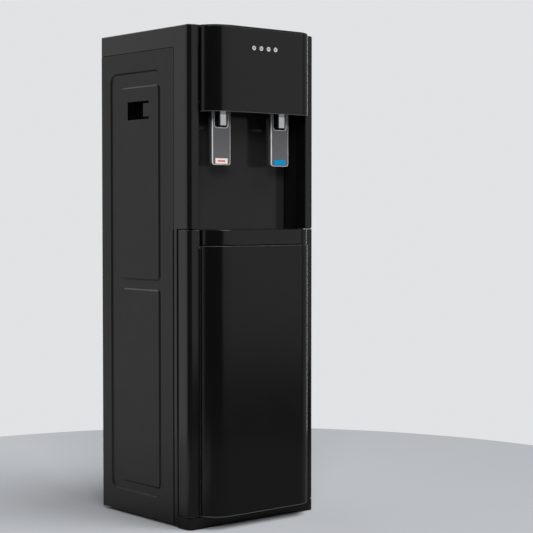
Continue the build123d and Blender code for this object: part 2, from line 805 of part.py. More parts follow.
# Left side panel: pressed steel with a sunk border, two raised fields and the hand grip
side_plane = Plane(origin=(-half, 0, 0), x_dir=(0, 1, 0), z_dir=(1, 0, 0))
press_depth = recess_depth + sheet
field_plane = Plane(origin=(-half + press_depth, 0, 0), x_dir=(0, -1, 0), z_dir=(-1, 0, 0))
bend = sheet * sqrt(2)
recess_top = height - recess_top_drop
field_split_top = sill_height - field_split_drop + field_split
field_heights = ((field_bottom, field_split_top - field_split), (field_split_top, height - field_top_drop))
grip_top = height - grip_top_drop
grip_bottom = grip_top - grip_height
recess_mid = ((recess_front + recess_rear) / 2, (recess_bottom + recess_top) / 2)
recess_size = (recess_rear - recess_front, recess_top - recess_bottom)
field_mid_y = (field_front + field_rear) / 2
field_width = field_rear - field_front
flange_bottom = foot_height + pan_flange + seam
with BuildPart() as left_side_panel:
    with BuildSketch(side_plane):
        with Locations(((y_panel_front + y_back) / 2, (foot_height + panel_top) / 2)):
            Rectangle(y_back - y_panel_front, panel_top - foot_height)
    extrude(amount=sheet)
    with BuildSketch(side_plane):
        with Locations(recess_mid):
            RectangleRounded(recess_size[0] + 2 * bend, recess_size[1] + 2 * bend, recess_corner + bend)
    extrude(amount=press_depth, taper=45)
    with BuildSketch(side_plane):
        with Locations(recess_mid):
            RectangleRounded(*recess_size, recess_corner)
    extrude(amount=recess_depth, taper=45, mode=Mode.SUBTRACT)
    for low, high in field_heights:
        field_mid = (-field_mid_y, (low + high) / 2)
        for grow, lift, field_mode in (
            (press_depth, press_depth, Mode.ADD),
            (press_depth - bend, recess_depth, Mode.SUBTRACT),
        ):
            with BuildSketch(field_plane):
                with Locations(field_mid):
                    RectangleRounded(field_width + 2 * grow, high - low + 2 * grow, field_corner + grow)
            extrude(amount=lift, taper=45, mode=field_mode)
    with BuildSketch(side_plane):
        with Locations(((grip_front + grip_rear) / 2, (grip_bottom + grip_top) / 2)):
            Rectangle(grip_rear - grip_front, grip_top - grip_bottom)
        with Locations((grip_front + tongue_length / 2, (grip_bottom + grip_top) / 2)):
            Rectangle(tongue_length, grip_top - grip_bottom - 2 * tongue_slit, mode=Mode.SUBTRACT)
    extrude(amount=press_depth, mode=Mode.SUBTRACT)
    for y_low in (y_panel_front, y_rear_flange):
        block((-half, -half + flange_width), (y_low, y_low + sheet), (flange_bottom, panel_top))
left_side_panel.part.label = "left_side_panel"
export_step(left_side_panel.part, "parts/left_side_panel.step")

with BuildPart() as right_side_panel:
    mirror(left_side_panel.part, about=Plane.YZ)
right_side_panel.part.label = "right_side_panel"
export_step(right_side_panel.part, "parts/right_side_panel.step")

# Base pan with turned-up edges
y_pan_rear = y_rear_flange - seat
with BuildPart() as base_pan:
    block((-x_inside, x_inside), (y_pan_front, y_pan_rear), (foot_height, foot_height + pan_flange))
    block(
        (-x_inside + sheet, x_inside - sheet),
        (y_pan_front + sheet, y_pan_rear - sheet),
        (foot_height + sheet, foot_height + pan_flange),
        Mode.SUBTRACT,
    )
base_pan.part.label = "base_pan"
export_step(base_pan.part, "parts/base_pan.step")

# Four feet under the pan
with BuildPart() as feet:
    for foot_x in (-half + foot_inset_x, half - foot_inset_x):
        for foot_y in (y_pan_front + foot_inset_front, y_back - foot_inset_rear):
            with BuildSketch(Plane.XY):
                with Locations((foot_x, foot_y)):
                    Circle(foot_radius - edge_radius)
            with BuildSketch(Plane.XY.offset(foot_height)):
                with Locations((foot_x, foot_y)):
                    Circle(foot_radius)
            loft()
feet.part.label = "feet"
export_step(feet.part, "parts/feet.step")

# Shelf under the tanks, with a turned-down rear edge
riser_x = half - inlet_inset
riser_y = y_niche_rear + riser_gap
pipe_hole = pipe_radius + tank_clearance
screw_xs = (-x_shelf + 2 * shelf_flange, 0, x_shelf - 2 * shelf_flange)
screw_z = shelf_top - shelf_flange / 2
with BuildPart() as tank_shelf:
    block((-x_shelf, x_shelf), (y_niche_rear + seat, y_rear_panel), (shelf_top - sheet, shelf_top))
    block((-x_shelf, x_shelf), (y_rear_panel - sheet, y_rear_panel), (shelf_top - shelf_flange, shelf_top))
    with Locations((-riser_x, riser_y, shelf_top)):
        Cylinder(pipe_hole, 4 * sheet, mode=Mode.SUBTRACT)
    for x in screw_xs:
        with BuildSketch(upright_plane(x, y_rear_panel)):
            with Locations((0, screw_z)):
                Circle(screw_radius + press)
        extrude(amount=sheet, mode=Mode.SUBTRACT)
tank_shelf.part.label = "tank_shelf"
export_step(tank_shelf.part, "parts/tank_shelf.step")

# Partition between the filters and the compressor
inlet_x = riser_x
with BuildPart() as inner_partition:
    block((-x_shelf, x_shelf), (partition_y, partition_y + sheet), (foot_height + sheet, shelf_top - sheet))
    with BuildSketch(upright_plane(inlet_x, partition_y + sheet)):
        with Locations((0, inlet_z)):
            Circle(pipe_hole)
    extrude(amount=sheet, mode=Mode.SUBTRACT)
inner_partition.part.label = "inner_partition"
export_step(inner_partition.part, "parts/inner_partition.step")

# Rear panel, set in from the rear edges, with cut-outs, air slots and saddles for the condenser
y_rear_face = y_rear_panel + sheet
y_coil = y_rear_face + condenser_standoff + condenser_tube_radius
condenser_passes = 1 + int((panel_top - condenser_top_gap - condenser_bottom) / condenser_pitch)
condenser_half_width = half - condenser_inset
coil_zs = [condenser_bottom + condenser_pitch * i for i in range(condenser_passes)]
rear_bottom = foot_height + pan_flange + seat
rear_top = panel_top
socket_x = -half + socket_inset
switch_xs = [-half + inset for inset in switch_insets]
drain_x = -half + drain_inset
vent_x = compressor_x + vent_slot[0] / 2
vent_z = (drain_zs[0] + inlet_z) / 2 + vent_slot[0]
with BuildPart() as rear_panel:
    block((-x_inside, x_inside), (y_rear_panel, y_rear_face), (rear_bottom, rear_top))
    for x_low in (-x_inside, x_inside - sheet):
        block((x_low, x_low + sheet), (y_rear_panel, y_pan_rear - sheet), (rear_bottom, rear_top))
    for x in (-condenser_half_width + saddle_width, condenser_half_width - saddle_width):
        for z in (coil_zs[1], coil_zs[-2]):
            block(
                (x - saddle_width / 2, x + saddle_width / 2),
                (y_rear_face, y_coil),
                (z - saddle_width / 2, z + saddle_width / 2),
            )
            with Locations((x, y_coil, z)):
                Cylinder(
                    condenser_tube_radius + press,
                    2 * saddle_width,
                    rotation=(0, 90, 0),
                    mode=Mode.SUBTRACT,
                )
    with BuildSketch(upright_plane(0, y_rear_face)):
        with Locations((socket_x, socket_z)):
            Rectangle(*socket_cutout)
        with Locations((inlet_x, inlet_z)):
            Circle(fitting_radius + press)
        for x in switch_xs:
            with Locations((x, switch_z)):
                Rectangle(*switch_cutout)
        for z in drain_zs:
            with Locations((drain_x, z)):
                Circle(drain_radius + press)
        for x in screw_xs:
            with Locations((x, screw_z)):
                Circle(screw_radius + press)
        with Locations((vent_x, vent_z)):
            with GridLocations(*vent_pitch, 2, vent_rows):
                Rectangle(*vent_slot)
    extrude(amount=sheet, mode=Mode.SUBTRACT)
rear_panel.part.label = "rear_panel"
export_step(rear_panel.part, "parts/rear_panel.step")

with BuildPart() as rear_screws:
    for x in screw_xs:
        with BuildSketch(upright_plane(x, y_rear_face)):
            with Locations((0, screw_z)):
                Circle(screw_head_radius)
        extrude(amount=-screw_head_height)
        with BuildSketch(upright_plane(x, y_rear_face)):
            with Locations((0, screw_z)):
                Circle(screw_radius)
        extrude(amount=4 * sheet)
rear_screws.part.label = "rear_screws"
export_step(rear_screws.part, "parts/rear_screws.step")

# Condenser: one serpentine tube and its wires
with BuildPart() as condenser_tube:
    with BuildLine(upright_plane(0, y_coil)) as coil_path:
        for i, z in enumerate(coil_zs):
            end = condenser_half_width if i % 2 == 0 else -condenser_half_width
            Line((-end, z), (end, z))
            if i < condenser_passes - 1:
                bend_out = condenser_pitch / 2 if end > 0 else -condenser_pitch / 2
                bend_tip = (end + bend_out, z + condenser_pitch / 2)
                ThreePointArc((end, z), bend_tip, (end, z + condenser_pitch))
    with BuildSketch(Plane(origin=coil_path.line @ 0, z_dir=coil_path.line % 0)):
        RegularPolygon(condenser_tube_radius, pipe_sides)
    sweep(path=coil_path.line)
condenser_tube.part.label = "condenser_tube"
export_step(condenser_tube.part, "parts/condenser_tube.step")

wire_step = 2 * condenser_half_width / (condenser_wire_count + 1)
y_wire = y_coil + condenser_tube_radius + condenser_wire_radius + press
with BuildPart() as condenser_wires:
    with BuildSketch(Plane.XY.offset(condenser_bottom - wire_over)):
        with Locations((0, y_wire)):
            with GridLocations(wire_step, wire_step, condenser_wire_count, 1):
                RegularPolygon(condenser_wire_radius, 6)
    extrude(amount=coil_zs[-1] - coil_zs[0] + 2 * wire_over)
condenser_wires.part.label = "condenser_wires"
export_step(condenser_wires.part, "parts/condenser_wires.step")

# Compressor on its foot plate and four rubber mounts
z_plate = foot_height + sheet + mount_height
with BuildPart() as compressor:
    with Locations((compressor_x, compressor_y, z_plate)):
        Box(
            compressor_feet[0] + 2 * mount_radius,
            compressor_feet[1] + 2 * mount_radius,
            compressor_plate,
            align=(Align.CENTER, Align.CENTER, Align.MIN),
        )
    with Locations((compressor_x, compressor_y, z_plate + compressor_plate)):
        Cylinder(compressor_radius, compressor_height, align=(Align.CENTER, Align.CENTER, Align.MIN))
    chamfer(compressor.faces().sort_by(Axis.Z)[-1].edges(), compressor_radius / 4, compressor_radius / 2)
    with Locations((compressor_x - compressor_radius, compressor_y, z_plate + compressor_height / 2)):
        Box(*terminal_box)
compressor.part.label = "compressor"
export_step(compressor.part, "parts/compressor.step")

with BuildPart() as compressor_mounts:
    with BuildSketch(Plane.XY.offset(foot_height + sheet)):
        with Locations((compressor_x, compressor_y)):
            with GridLocations(*compressor_feet, 2, 2):
                Circle(mount_radius)
    extrude(amount=mount_height)
compressor_mounts.part.label = "compressor_mounts"
export_step(compressor_mounts.part, "parts/compressor_mounts.step")

# Hot tank in its jacket, with the heater band round it
hot_jacket_radius = tap_x - cold_overlap - tank_gap
hot_tank_radius = hot_jacket_radius - hot_lagging
jacket_bore = hot_tank_radius + band_thickness + 2 * seat
hot_tank_bottom = shelf_top + jacket_floor
hot_tank_top = hot_tank_bottom + hot_tank_height
hot_tank_base = hot_tank_bottom + band_width
with BuildPart() as hot_tank_jacket:
    with BuildSketch(Plane.XY.offset(shelf_top)):
        with Locations((-tap_x, tank_y)):
            Circle(hot_jacket_radius)
    extrude(amount=jacket_floor + hot_tank_height)
    with BuildSketch(Plane.XY.offset(hot_tank_bottom)):
        with Locations((-tap_x, tank_y)):
            Circle(jacket_bore)
    extrude(amount=hot_tank_height, mode=Mode.SUBTRACT)
hot_tank_jacket.part.label = "hot_tank_jacket"
export_step(hot_tank_jacket.part, "parts/hot_tank_jacket.step")

with BuildPart() as hot_tank:
    with Locations((-tap_x, tank_y, hot_tank_bottom)):
        Cylinder(hot_tank_radius, hot_tank_height, align=(Align.CENTER, Align.CENTER, Align.MIN))
    chamfer(hot_tank.faces().sort_by(Axis.Z)[-1].edges(), hot_tank_radius / 4)
    with Locations((-tap_x, tank_y, hot_tank_top)):
        Cylinder(stub_radius, stub_length, align=(Align.CENTER, Align.CENTER, Align.MIN))
    with Locations((-tap_x, tank_y, hot_tank_bottom + sheet)):
        Cylinder(
            2 * hot_tank_radius / 3,
            hot_tank_height - 2 * sheet,
            align=(Align.CENTER, Align.CENTER, Align.MIN),
            mode=Mode.SUBTRACT,
        )
        Cylinder(
            hot_tank_radius - sheet,
            2 * hot_tank_height / 3,
            align=(Align.CENTER, Align.CENTER, Align.MIN),
            mode=Mode.SUBTRACT,
        )
        Cylinder(
            stub_radius - 2 * sheet,
            hot_tank_height + stub_length,
            align=(Align.CENTER, Align.CENTER, Align.MIN),
            mode=Mode.SUBTRACT,
        )
hot_tank.part.label = "hot_tank"
export_step(hot_tank.part, "parts/hot_tank.step")

with BuildPart() as heater_band:
    with BuildSketch(Plane.XY.offset(hot_tank_base)):
        with Locations((-tap_x, tank_y)):
            Circle(hot_tank_radius + band_thickness)
            Circle(hot_tank_radius + press, mode=Mode.SUBTRACT)
    extrude(amount=band_width)
heater_band.part.label = "heater_band"
export_step(heater_band.part, "parts/heater_band.step")

# Cold tank in its foam block, with the lid
cold_y_span = (tank_y - cold_block_depth / 2, tank_y + cold_block_depth / 2)
cold_x_span = (-cold_overlap, x_shelf - tank_clearance)
cold_x = (cold_x_span[0] + cold_x_span[1]) / 2
cold_tank_radius = min(cold_block_depth / 2, cold_x + cold_overlap) - foam_wall
cold_tank_bottom = shelf_top + foam_floor
cold_tank_top = cold_tank_bottom + cold_tank_height
cold_lid_top = cold_tank_top + foam_lid
cold_outlet_y = tank_y - cold_tank_radius / 2
feed_x = tap_x - cold_tank_radius / 2
with BuildPart() as cold_tank_insulation:
    block(cold_x_span, cold_y_span, (shelf_top, cold_tank_top))
    with Locations((cold_x, tank_y, cold_tank_bottom)):
        Cylinder(
            cold_tank_radius + seat,
            cold_tank_height,
            align=(Align.CENTER, Align.CENTER, Align.MIN),
            mode=Mode.SUBTRACT,
        )
cold_tank_insulation.part.label = "cold_tank_insulation"
export_step(cold_tank_insulation.part, "parts/cold_tank_insulation.step")

with BuildPart() as cold_tank:
    with Locations((cold_x, tank_y, cold_tank_bottom)):
        Cylinder(cold_tank_radius, cold_tank_height, align=(Align.CENTER, Align.CENTER, Align.MIN))
    with Locations((cold_x, tank_y, cold_tank_bottom + sheet)):
        Cylinder(
            cold_tank_radius - sheet,
            cold_tank_height,
            align=(Align.CENTER, Align.CENTER, Align.MIN),
            mode=Mode.SUBTRACT,
        )
cold_tank.part.label = "cold_tank"
export_step(cold_tank.part, "parts/cold_tank.step")

with BuildPart() as cold_tank_lid:
    block(cold_x_span, cold_y_span, (cold_tank_top, cold_lid_top))
    fillet(cold_tank_lid.edges().filter_by(Axis.Z), 2 * edge_radius)
cold_tank_lid.part.label = "cold_tank_lid"
export_step(cold_tank_lid.part, "parts/cold_tank_lid.step")

# Filter head on the partition and two quarter-turn cartridges
filter_xs = (-filter_pitch / 2, filter_pitch / 2)
y_head_rear = partition_y
filter_top = shelf_top - filter_drop
head_half = filter_pitch / 2 + filter_radius
head_top = filter_top + filter_head_height
y_port = (filter_y + y_head_rear) / 2
z_port = filter_top + filter_head_height / 2
with BuildPart() as filter_head:
    block(
        (-head_half, head_half),
        (y_head_rear - head_plate, y_head_rear),
        (filter_top - head_plate, head_top + 2 * head_plate),
    )
    block((-head_half, head_half), (filter_y, y_head_rear), (filter_top, head_top))
    for x in filter_xs:
        with Locations((x, filter_y, filter_top)):
            Cylinder(
                filter_radius - edge_radius,
                filter_head_height,
                align=(Align.CENTER, Align.CENTER, Align.MIN),
            )
            Cylinder(
                filter_neck_radius + run_fit,
                filter_neck_length + seat,
                align=(Align.CENTER, Align.CENTER, Align.MIN),
                mode=Mode.SUBTRACT,
            )
filter_head.part.label = "filter_head"
export_step(filter_head.part, "parts/filter_head.step")

for x, filter_name in zip(filter_xs, ("sediment_filter", "carbon_filter")):
    with BuildPart() as cartridge:
        with Locations((x, filter_y, filter_top - seat)):
            Cylinder(filter_radius, filter_length, align=(Align.CENTER, Align.CENTER, Align.MAX))
        chamfer(cartridge.edges().filter_by(GeomType.CIRCLE), filter_shoulder)
        with Locations((x, filter_y, filter_top - seat)):
            Cylinder(filter_neck_radius, filter_neck_length, align=(Align.CENTER, Align.CENTER, Align.MIN))
        with Locations((x, filter_y, filter_top - seat - filter_length)):
            Box(*grip_bar, align=(Align.CENTER, Align.CENTER, Align.MAX))
    cartridge.part.label = filter_name
    export_step(cartridge.part, "parts/" + filter_name + ".step")

# Water pipes: straight runs joined by bends
y_stem = y_pivot + stem_radius + press
x_port = head_half + press
feed_z = cold_lid_top + pipe_bend + 2 * pipe_radius
pipe_head = ceiling_height + pipe_rise
pipe_routes = {
    "hot_pipe": (
        (-tap_x, tank_y, hot_tank_top + stub_length),
        (-tap_x, tank_y, pipe_head),
        (-tap_x, y_stem, pipe_head),
    ),
    "cold_pipe": (
        (tap_x, cold_outlet_y, cold_lid_top),
        (tap_x, cold_outlet_y, pipe_head),
        (tap_x, y_stem, pipe_head),
    ),
    "feed_pipe": (
        (-x_port, y_port, z_port),
        (-riser_x, y_port, z_port),
        (-riser_x, riser_y, z_port),
        (-riser_x, riser_y, feed_z),
        (feed_x, riser_y, feed_z),
        (feed_x, cold_outlet_y, feed_z),
        (feed_x, cold_outlet_y, cold_lid_top),
    ),
    "inlet_pipe": (
        (inlet_x, y_rear_panel - fitting_radius, inlet_z),
        (inlet_x, y_port, inlet_z),
        (inlet_x, y_port, z_port),
        (x_port, y_port, z_port),
    ),
}
for pipe_name, route in pipe_routes.items():
    with BuildPart() as pipe:
        with BuildLine() as run:
            FilletPolyline(*route, radius=pipe_bend)
        with BuildSketch(Plane(origin=run.line @ 0, z_dir=run.line % 0)):
            RegularPolygon(pipe_radius, pipe_sides)
        sweep(path=run.line)
    pipe.part.label = pipe_name
    export_step(pipe.part, "parts/" + pipe_name + ".step")

# Water inlet: push-fit bulkhead fitting in the rear panel
with BuildPart() as inlet_fitting:
    with BuildSketch(upright_plane(inlet_x, y_rear_panel - fitting_radius)):
        with Locations((0, inlet_z)):
            Circle(fitting_radius)
    extrude(amount=-rear_recess - fitting_radius + seam)
    with BuildSketch(upright_plane(inlet_x, y_rear_face)):
        with Locations((0, inlet_z)):
            RegularPolygon(fitting_flange, 6)
    extrude(amount=-fitting_radius / 2)
    with BuildSketch(upright_plane(inlet_x, y_back - seam)):
        with Locations((0, inlet_z)):
            Circle(tube_bore_radius)
    extrude(amount=tube_bore_depth, mode=Mode.SUBTRACT)
inlet_fitting.part.label = "inlet_fitting"
export_step(inlet_fitting.part, "parts/inlet_fitting.step")

# Power inlet: snap-in socket with a flange on the outside
socket_rim = (socket_cutout[0] + 2 * socket_flange, socket_cutout[1] + 2 * socket_flange)
with BuildPart() as power_inlet:
    with BuildSketch(upright_plane(socket_x, y_rear_face)):
        with Locations((0, socket_z)):
            RectangleRounded(*socket_rim, edge_radius)
    extrude(amount=-socket_flange)
    with BuildSketch(upright_plane(socket_x, y_rear_face)):
        with Locations((0, socket_z)):
            Rectangle(socket_cutout[0] - 2 * seat, socket_cutout[1] - 2 * seat)
    extrude(amount=socket_depth)
    with BuildSketch(upright_plane(socket_x, y_rear_face + socket_flange)):
        with Locations((0, socket_z)):
            RectangleRounded(*socket_mouth, 2 * edge_radius)
    extrude(amount=socket_depth - socket_flange, mode=Mode.SUBTRACT)
power_inlet.part.label = "power_inlet"
export_step(power_inlet.part, "parts/power_inlet.step")

# Two rocker switches, one per heating and cooling circuit
y_axle = y_rear_face - axle_depth
switch_wall = (switch_cutout[0] - 2 * seat - rocker_width) / 2 - seat
with BuildPart() as switch_housings:
    for x in switch_xs:
        with BuildSketch(upright_plane(x, y_rear_face)):
            with Locations((0, switch_z)):
                Rectangle(switch_cutout[0] + 2 * bezel, switch_cutout[1] + 2 * bezel)
        extrude(amount=-switch_flange)
        with BuildSketch(upright_plane(x, y_rear_face)):
            with Locations((0, switch_z)):
                Rectangle(switch_cutout[0] - 2 * seat, switch_cutout[1] - 2 * seat)
        extrude(amount=switch_depth)
        with BuildSketch(upright_plane(x, y_rear_face + switch_flange)):
            with Locations((0, switch_z)):
                Rectangle(rocker_width + 2 * seat, switch_cutout[1] - 2 * seat - 2 * switch_wall)
        extrude(amount=switch_depth + switch_flange - bezel, mode=Mode.SUBTRACT)
        with Locations((x, y_axle, switch_z)):
            Cylinder(
                axle_radius + run_fit,
                switch_cutout[0] - 2 * seat,
                rotation=(0, 90, 0),
                mode=Mode.SUBTRACT,
            )
switch_housings.part.label = "switch_housings"
export_step(switch_housings.part, "parts/switch_housings.step")

for x, rocker_name in zip(switch_xs, ("hot_switch", "cold_switch")):
    rocker_lean = (0, cos(radians(rocker_tilt)), sin(radians(rocker_tilt)))
    rocker_plane = Plane(origin=(x, y_axle, switch_z), x_dir=rocker_lean, z_dir=(1, 0, 0))
    with BuildPart() as rocker:
        with BuildSketch(rocker_plane):
            with BuildLine():
                Polyline(
                    (rocker_rise, -rocker_half),
                    (rocker_dip, 0),
                    (rocker_rise, rocker_half),
                    (0, rocker_half),
                    (-rocker_dip, 0),
                    (0, -rocker_half),
                    close=True,
                )
            make_face()
        extrude(amount=rocker_width / 2, both=True)
        with Locations((x, y_axle, switch_z)):
            Cylinder(axle_radius, switch_cutout[0] - 4 * seat, rotation=(0, 90, 0))
    rocker.part.label = rocker_name
    export_step(rocker.part, "parts/" + rocker_name + ".step")

# Drain caps of the two tanks
with BuildPart() as drain_caps:
    for z in drain_zs:
        with BuildSketch(upright_plane(drain_x, y_rear_face)):
            with Locations((0, z)):
                RegularPolygon(cap_radius, cap_sides)
        extrude(amount=-cap_length)
        with BuildSketch(upright_plane(drain_x, y_rear_face)):
            with Locations((0, z)):
                Circle(drain_radius)
        extrude(amount=drain_stub)
drain_caps.part.label = "drain_caps"
export_step(drain_caps.part, "parts/drain_caps.step")
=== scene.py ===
"""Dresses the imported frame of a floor-standing water dispenser.

Each CAD node is replaced by a copy with softened edges and its finish, small fittings are added, and a plain
studio shows the result from the photograph's viewpoint.
"""

from __future__ import annotations

import json
import logging
import math
from dataclasses import dataclass
from enum import Enum

import bmesh
import bpy
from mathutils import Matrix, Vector

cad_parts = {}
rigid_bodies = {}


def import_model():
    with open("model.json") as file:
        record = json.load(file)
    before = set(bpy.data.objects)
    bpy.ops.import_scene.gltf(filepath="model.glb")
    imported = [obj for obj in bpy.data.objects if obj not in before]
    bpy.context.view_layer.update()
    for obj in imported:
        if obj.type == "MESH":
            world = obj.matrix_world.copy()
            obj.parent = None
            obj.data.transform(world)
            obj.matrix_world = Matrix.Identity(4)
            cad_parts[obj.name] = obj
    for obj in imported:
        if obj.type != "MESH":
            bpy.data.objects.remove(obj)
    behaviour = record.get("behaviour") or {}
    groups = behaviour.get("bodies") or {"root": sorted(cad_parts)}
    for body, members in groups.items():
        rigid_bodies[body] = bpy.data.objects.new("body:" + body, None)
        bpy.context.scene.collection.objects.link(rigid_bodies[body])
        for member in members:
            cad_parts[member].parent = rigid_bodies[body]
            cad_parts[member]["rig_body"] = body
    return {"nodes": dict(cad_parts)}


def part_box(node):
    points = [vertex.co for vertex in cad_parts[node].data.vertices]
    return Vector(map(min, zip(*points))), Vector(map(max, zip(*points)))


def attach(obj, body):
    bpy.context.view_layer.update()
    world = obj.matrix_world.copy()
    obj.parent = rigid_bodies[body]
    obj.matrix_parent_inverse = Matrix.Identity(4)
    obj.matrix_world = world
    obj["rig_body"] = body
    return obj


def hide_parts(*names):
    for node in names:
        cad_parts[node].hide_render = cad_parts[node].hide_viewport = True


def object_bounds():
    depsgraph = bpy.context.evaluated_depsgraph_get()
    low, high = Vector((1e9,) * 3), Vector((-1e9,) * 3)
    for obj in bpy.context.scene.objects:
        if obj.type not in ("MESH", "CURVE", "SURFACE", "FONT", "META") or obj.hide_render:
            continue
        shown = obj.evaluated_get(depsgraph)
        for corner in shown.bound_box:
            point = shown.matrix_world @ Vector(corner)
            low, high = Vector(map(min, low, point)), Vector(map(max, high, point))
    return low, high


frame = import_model()
CAD_BOX = [list(corner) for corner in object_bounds()]
LOG = logging.getLogger("dispenser")
MM = 0.001
IMAGE_SIDE = 533
SENSOR_WIDTH = 36.0
SIGHT_RANGE = 50.0

Colour = tuple[float, float, float]
Point = tuple[float, float, float]
Pair = tuple[float, float]

ORIGIN: Point = (0.0, 0.0, 0.0)
REARWARD: Point = (0.0, 1.0, 0.0)
UPWARD: Point = (0.0, 0.0, 1.0)
SIDES = {"right": 1.0, "left": -1.0}

# Distances in metres below which points count as one
WELD = 2e-6
LATHE_WELD = 1e-7
JOINT_SLACK = 1e-5
TOUCH = 0.0003

# Angles in degrees: between faces that merge, that get a rounded edge, and that blend in shading
FLAT_ANGLE = 0.4
SHARP_ANGLE = 32.0
SMOOTH_ANGLE = 35.0
ROUND_ANGLE = 50.0
QUARTER_TURN = 90.0

# How edges are rounded: steps across, the width for none, the material index of edges with a painted
# highlight, and the pull of large faces on the shading beside them
ROUND_STEPS = 2
UNROUNDED = 0.0
EDGE_INDEX = 1
FACE_WEIGHT = 100

# The door's box, the gap round it, and how far the side panels' bend stands back beside it
DOOR_LOW, DOOR_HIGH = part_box("door_frame")
DOOR_GAP = 0.0020
PANEL_RELIEF = 0.0030

# Pieces with edges in painted highlight grey whose top edge gets only a thin painted highlight
DIM_TOPS = frozenset({"door_panel", "fascia"})


class Grain(Enum):
    """What the surface looks like close up."""

    PEEL = "paint with a faint ripple"
    MOULD = "moulded plastic with a fine spark texture"
    POLISH = "polished plastic with barely any ripple"
    BRUSH = "metal with lines in one direction"
    ZINC = "plated sheet with soft patches"
    FOAM = "expanded beads"
    PLAIN = "an even surface with slight handling marks"


class LampUse(Enum):
    """What a lamp does for the picture."""

    LIGHT = "lights surfaces, and glossy ones don't show it"
    MIRROR = "shows in glossy surfaces and lights nothing else"
    BOTH = "lights surfaces and shows in glossy ones"


class Body(Enum):
    """The bodies of the frame that new pieces ride on."""

    CABINET = "cabinet"
    SEDIMENT = "sediment_cartridge"
    CARBON = "carbon_cartridge"


class Slot(Enum):
    """Names of material slots in the record."""

    RUBBER = "rubber_black"
    STEEL = "pin_steel"
    MACHINE = "machine_black"
    FILTER = "filter_white"


class Pattern(Enum):
    """How a unit is repeated."""

    ROW = "row_of_units"
    RING = "ring_of_units"


@dataclass(frozen=True)
class Noise:
    """One layer of noise in a material.

    Attributes:
        scale: Noise cells per metre.
        detail: Finer layers on top of the first.
    """

    scale: float
    detail: float

    def add(self, tree: bpy.types.NodeTree, place: bpy.types.NodeSocket) -> bpy.types.NodeSocket:
        """Adds the layer to a node tree.

        Args:
            tree: Node tree of the material.
            place: Socket with the coordinates to read.

        Returns:
            The socket with the layer's values.
        """
        layer = tree.nodes.new("ShaderNodeTexNoise")
        layer.inputs["Scale"].default_value = self.scale
        layer.inputs["Detail"].default_value = self.detail
        tree.links.new(place, layer.inputs["Vector"])
        return layer.outputs["Fac"]


# Noise behind colour and roughness of every finish, detail of the bump, and the least roughness
CLOUD = Noise(9.0, 5.0)
WEAR = Noise(38.0, 6.0)
FINE_DETAIL = 3.0
LEAST_ROUGH = 0.02


@dataclass(frozen=True)
class GrainSpec:
    """Noise settings behind one kind of grain.

    Attributes:
        scale: Noise cells per metre.
        bump: Bump strength.
        depth: Bump distance in metres.
        stretch: Scale factors along X, Y and Z.
    """

    scale: float
    bump: float
    depth: float
    stretch: Point = (1.0, 1.0, 1.0)


GRAINS: dict[Grain, GrainSpec] = {
    Grain.PEEL: GrainSpec(420.0, 0.10, 0.0004),
    Grain.MOULD: GrainSpec(1500.0, 0.16, 0.0002),
    Grain.POLISH: GrainSpec(60.0, 0.015, 0.0006),
    Grain.BRUSH: GrainSpec(90.0, 0.05, 0.0002, stretch=(1.0, 1.0, 22.0)),
    Grain.ZINC: GrainSpec(55.0, 0.03, 0.0004),
    Grain.FOAM: GrainSpec(320.0, 0.35, 0.0006),
    Grain.PLAIN: GrainSpec(240.0, 0.04, 0.0003),
}


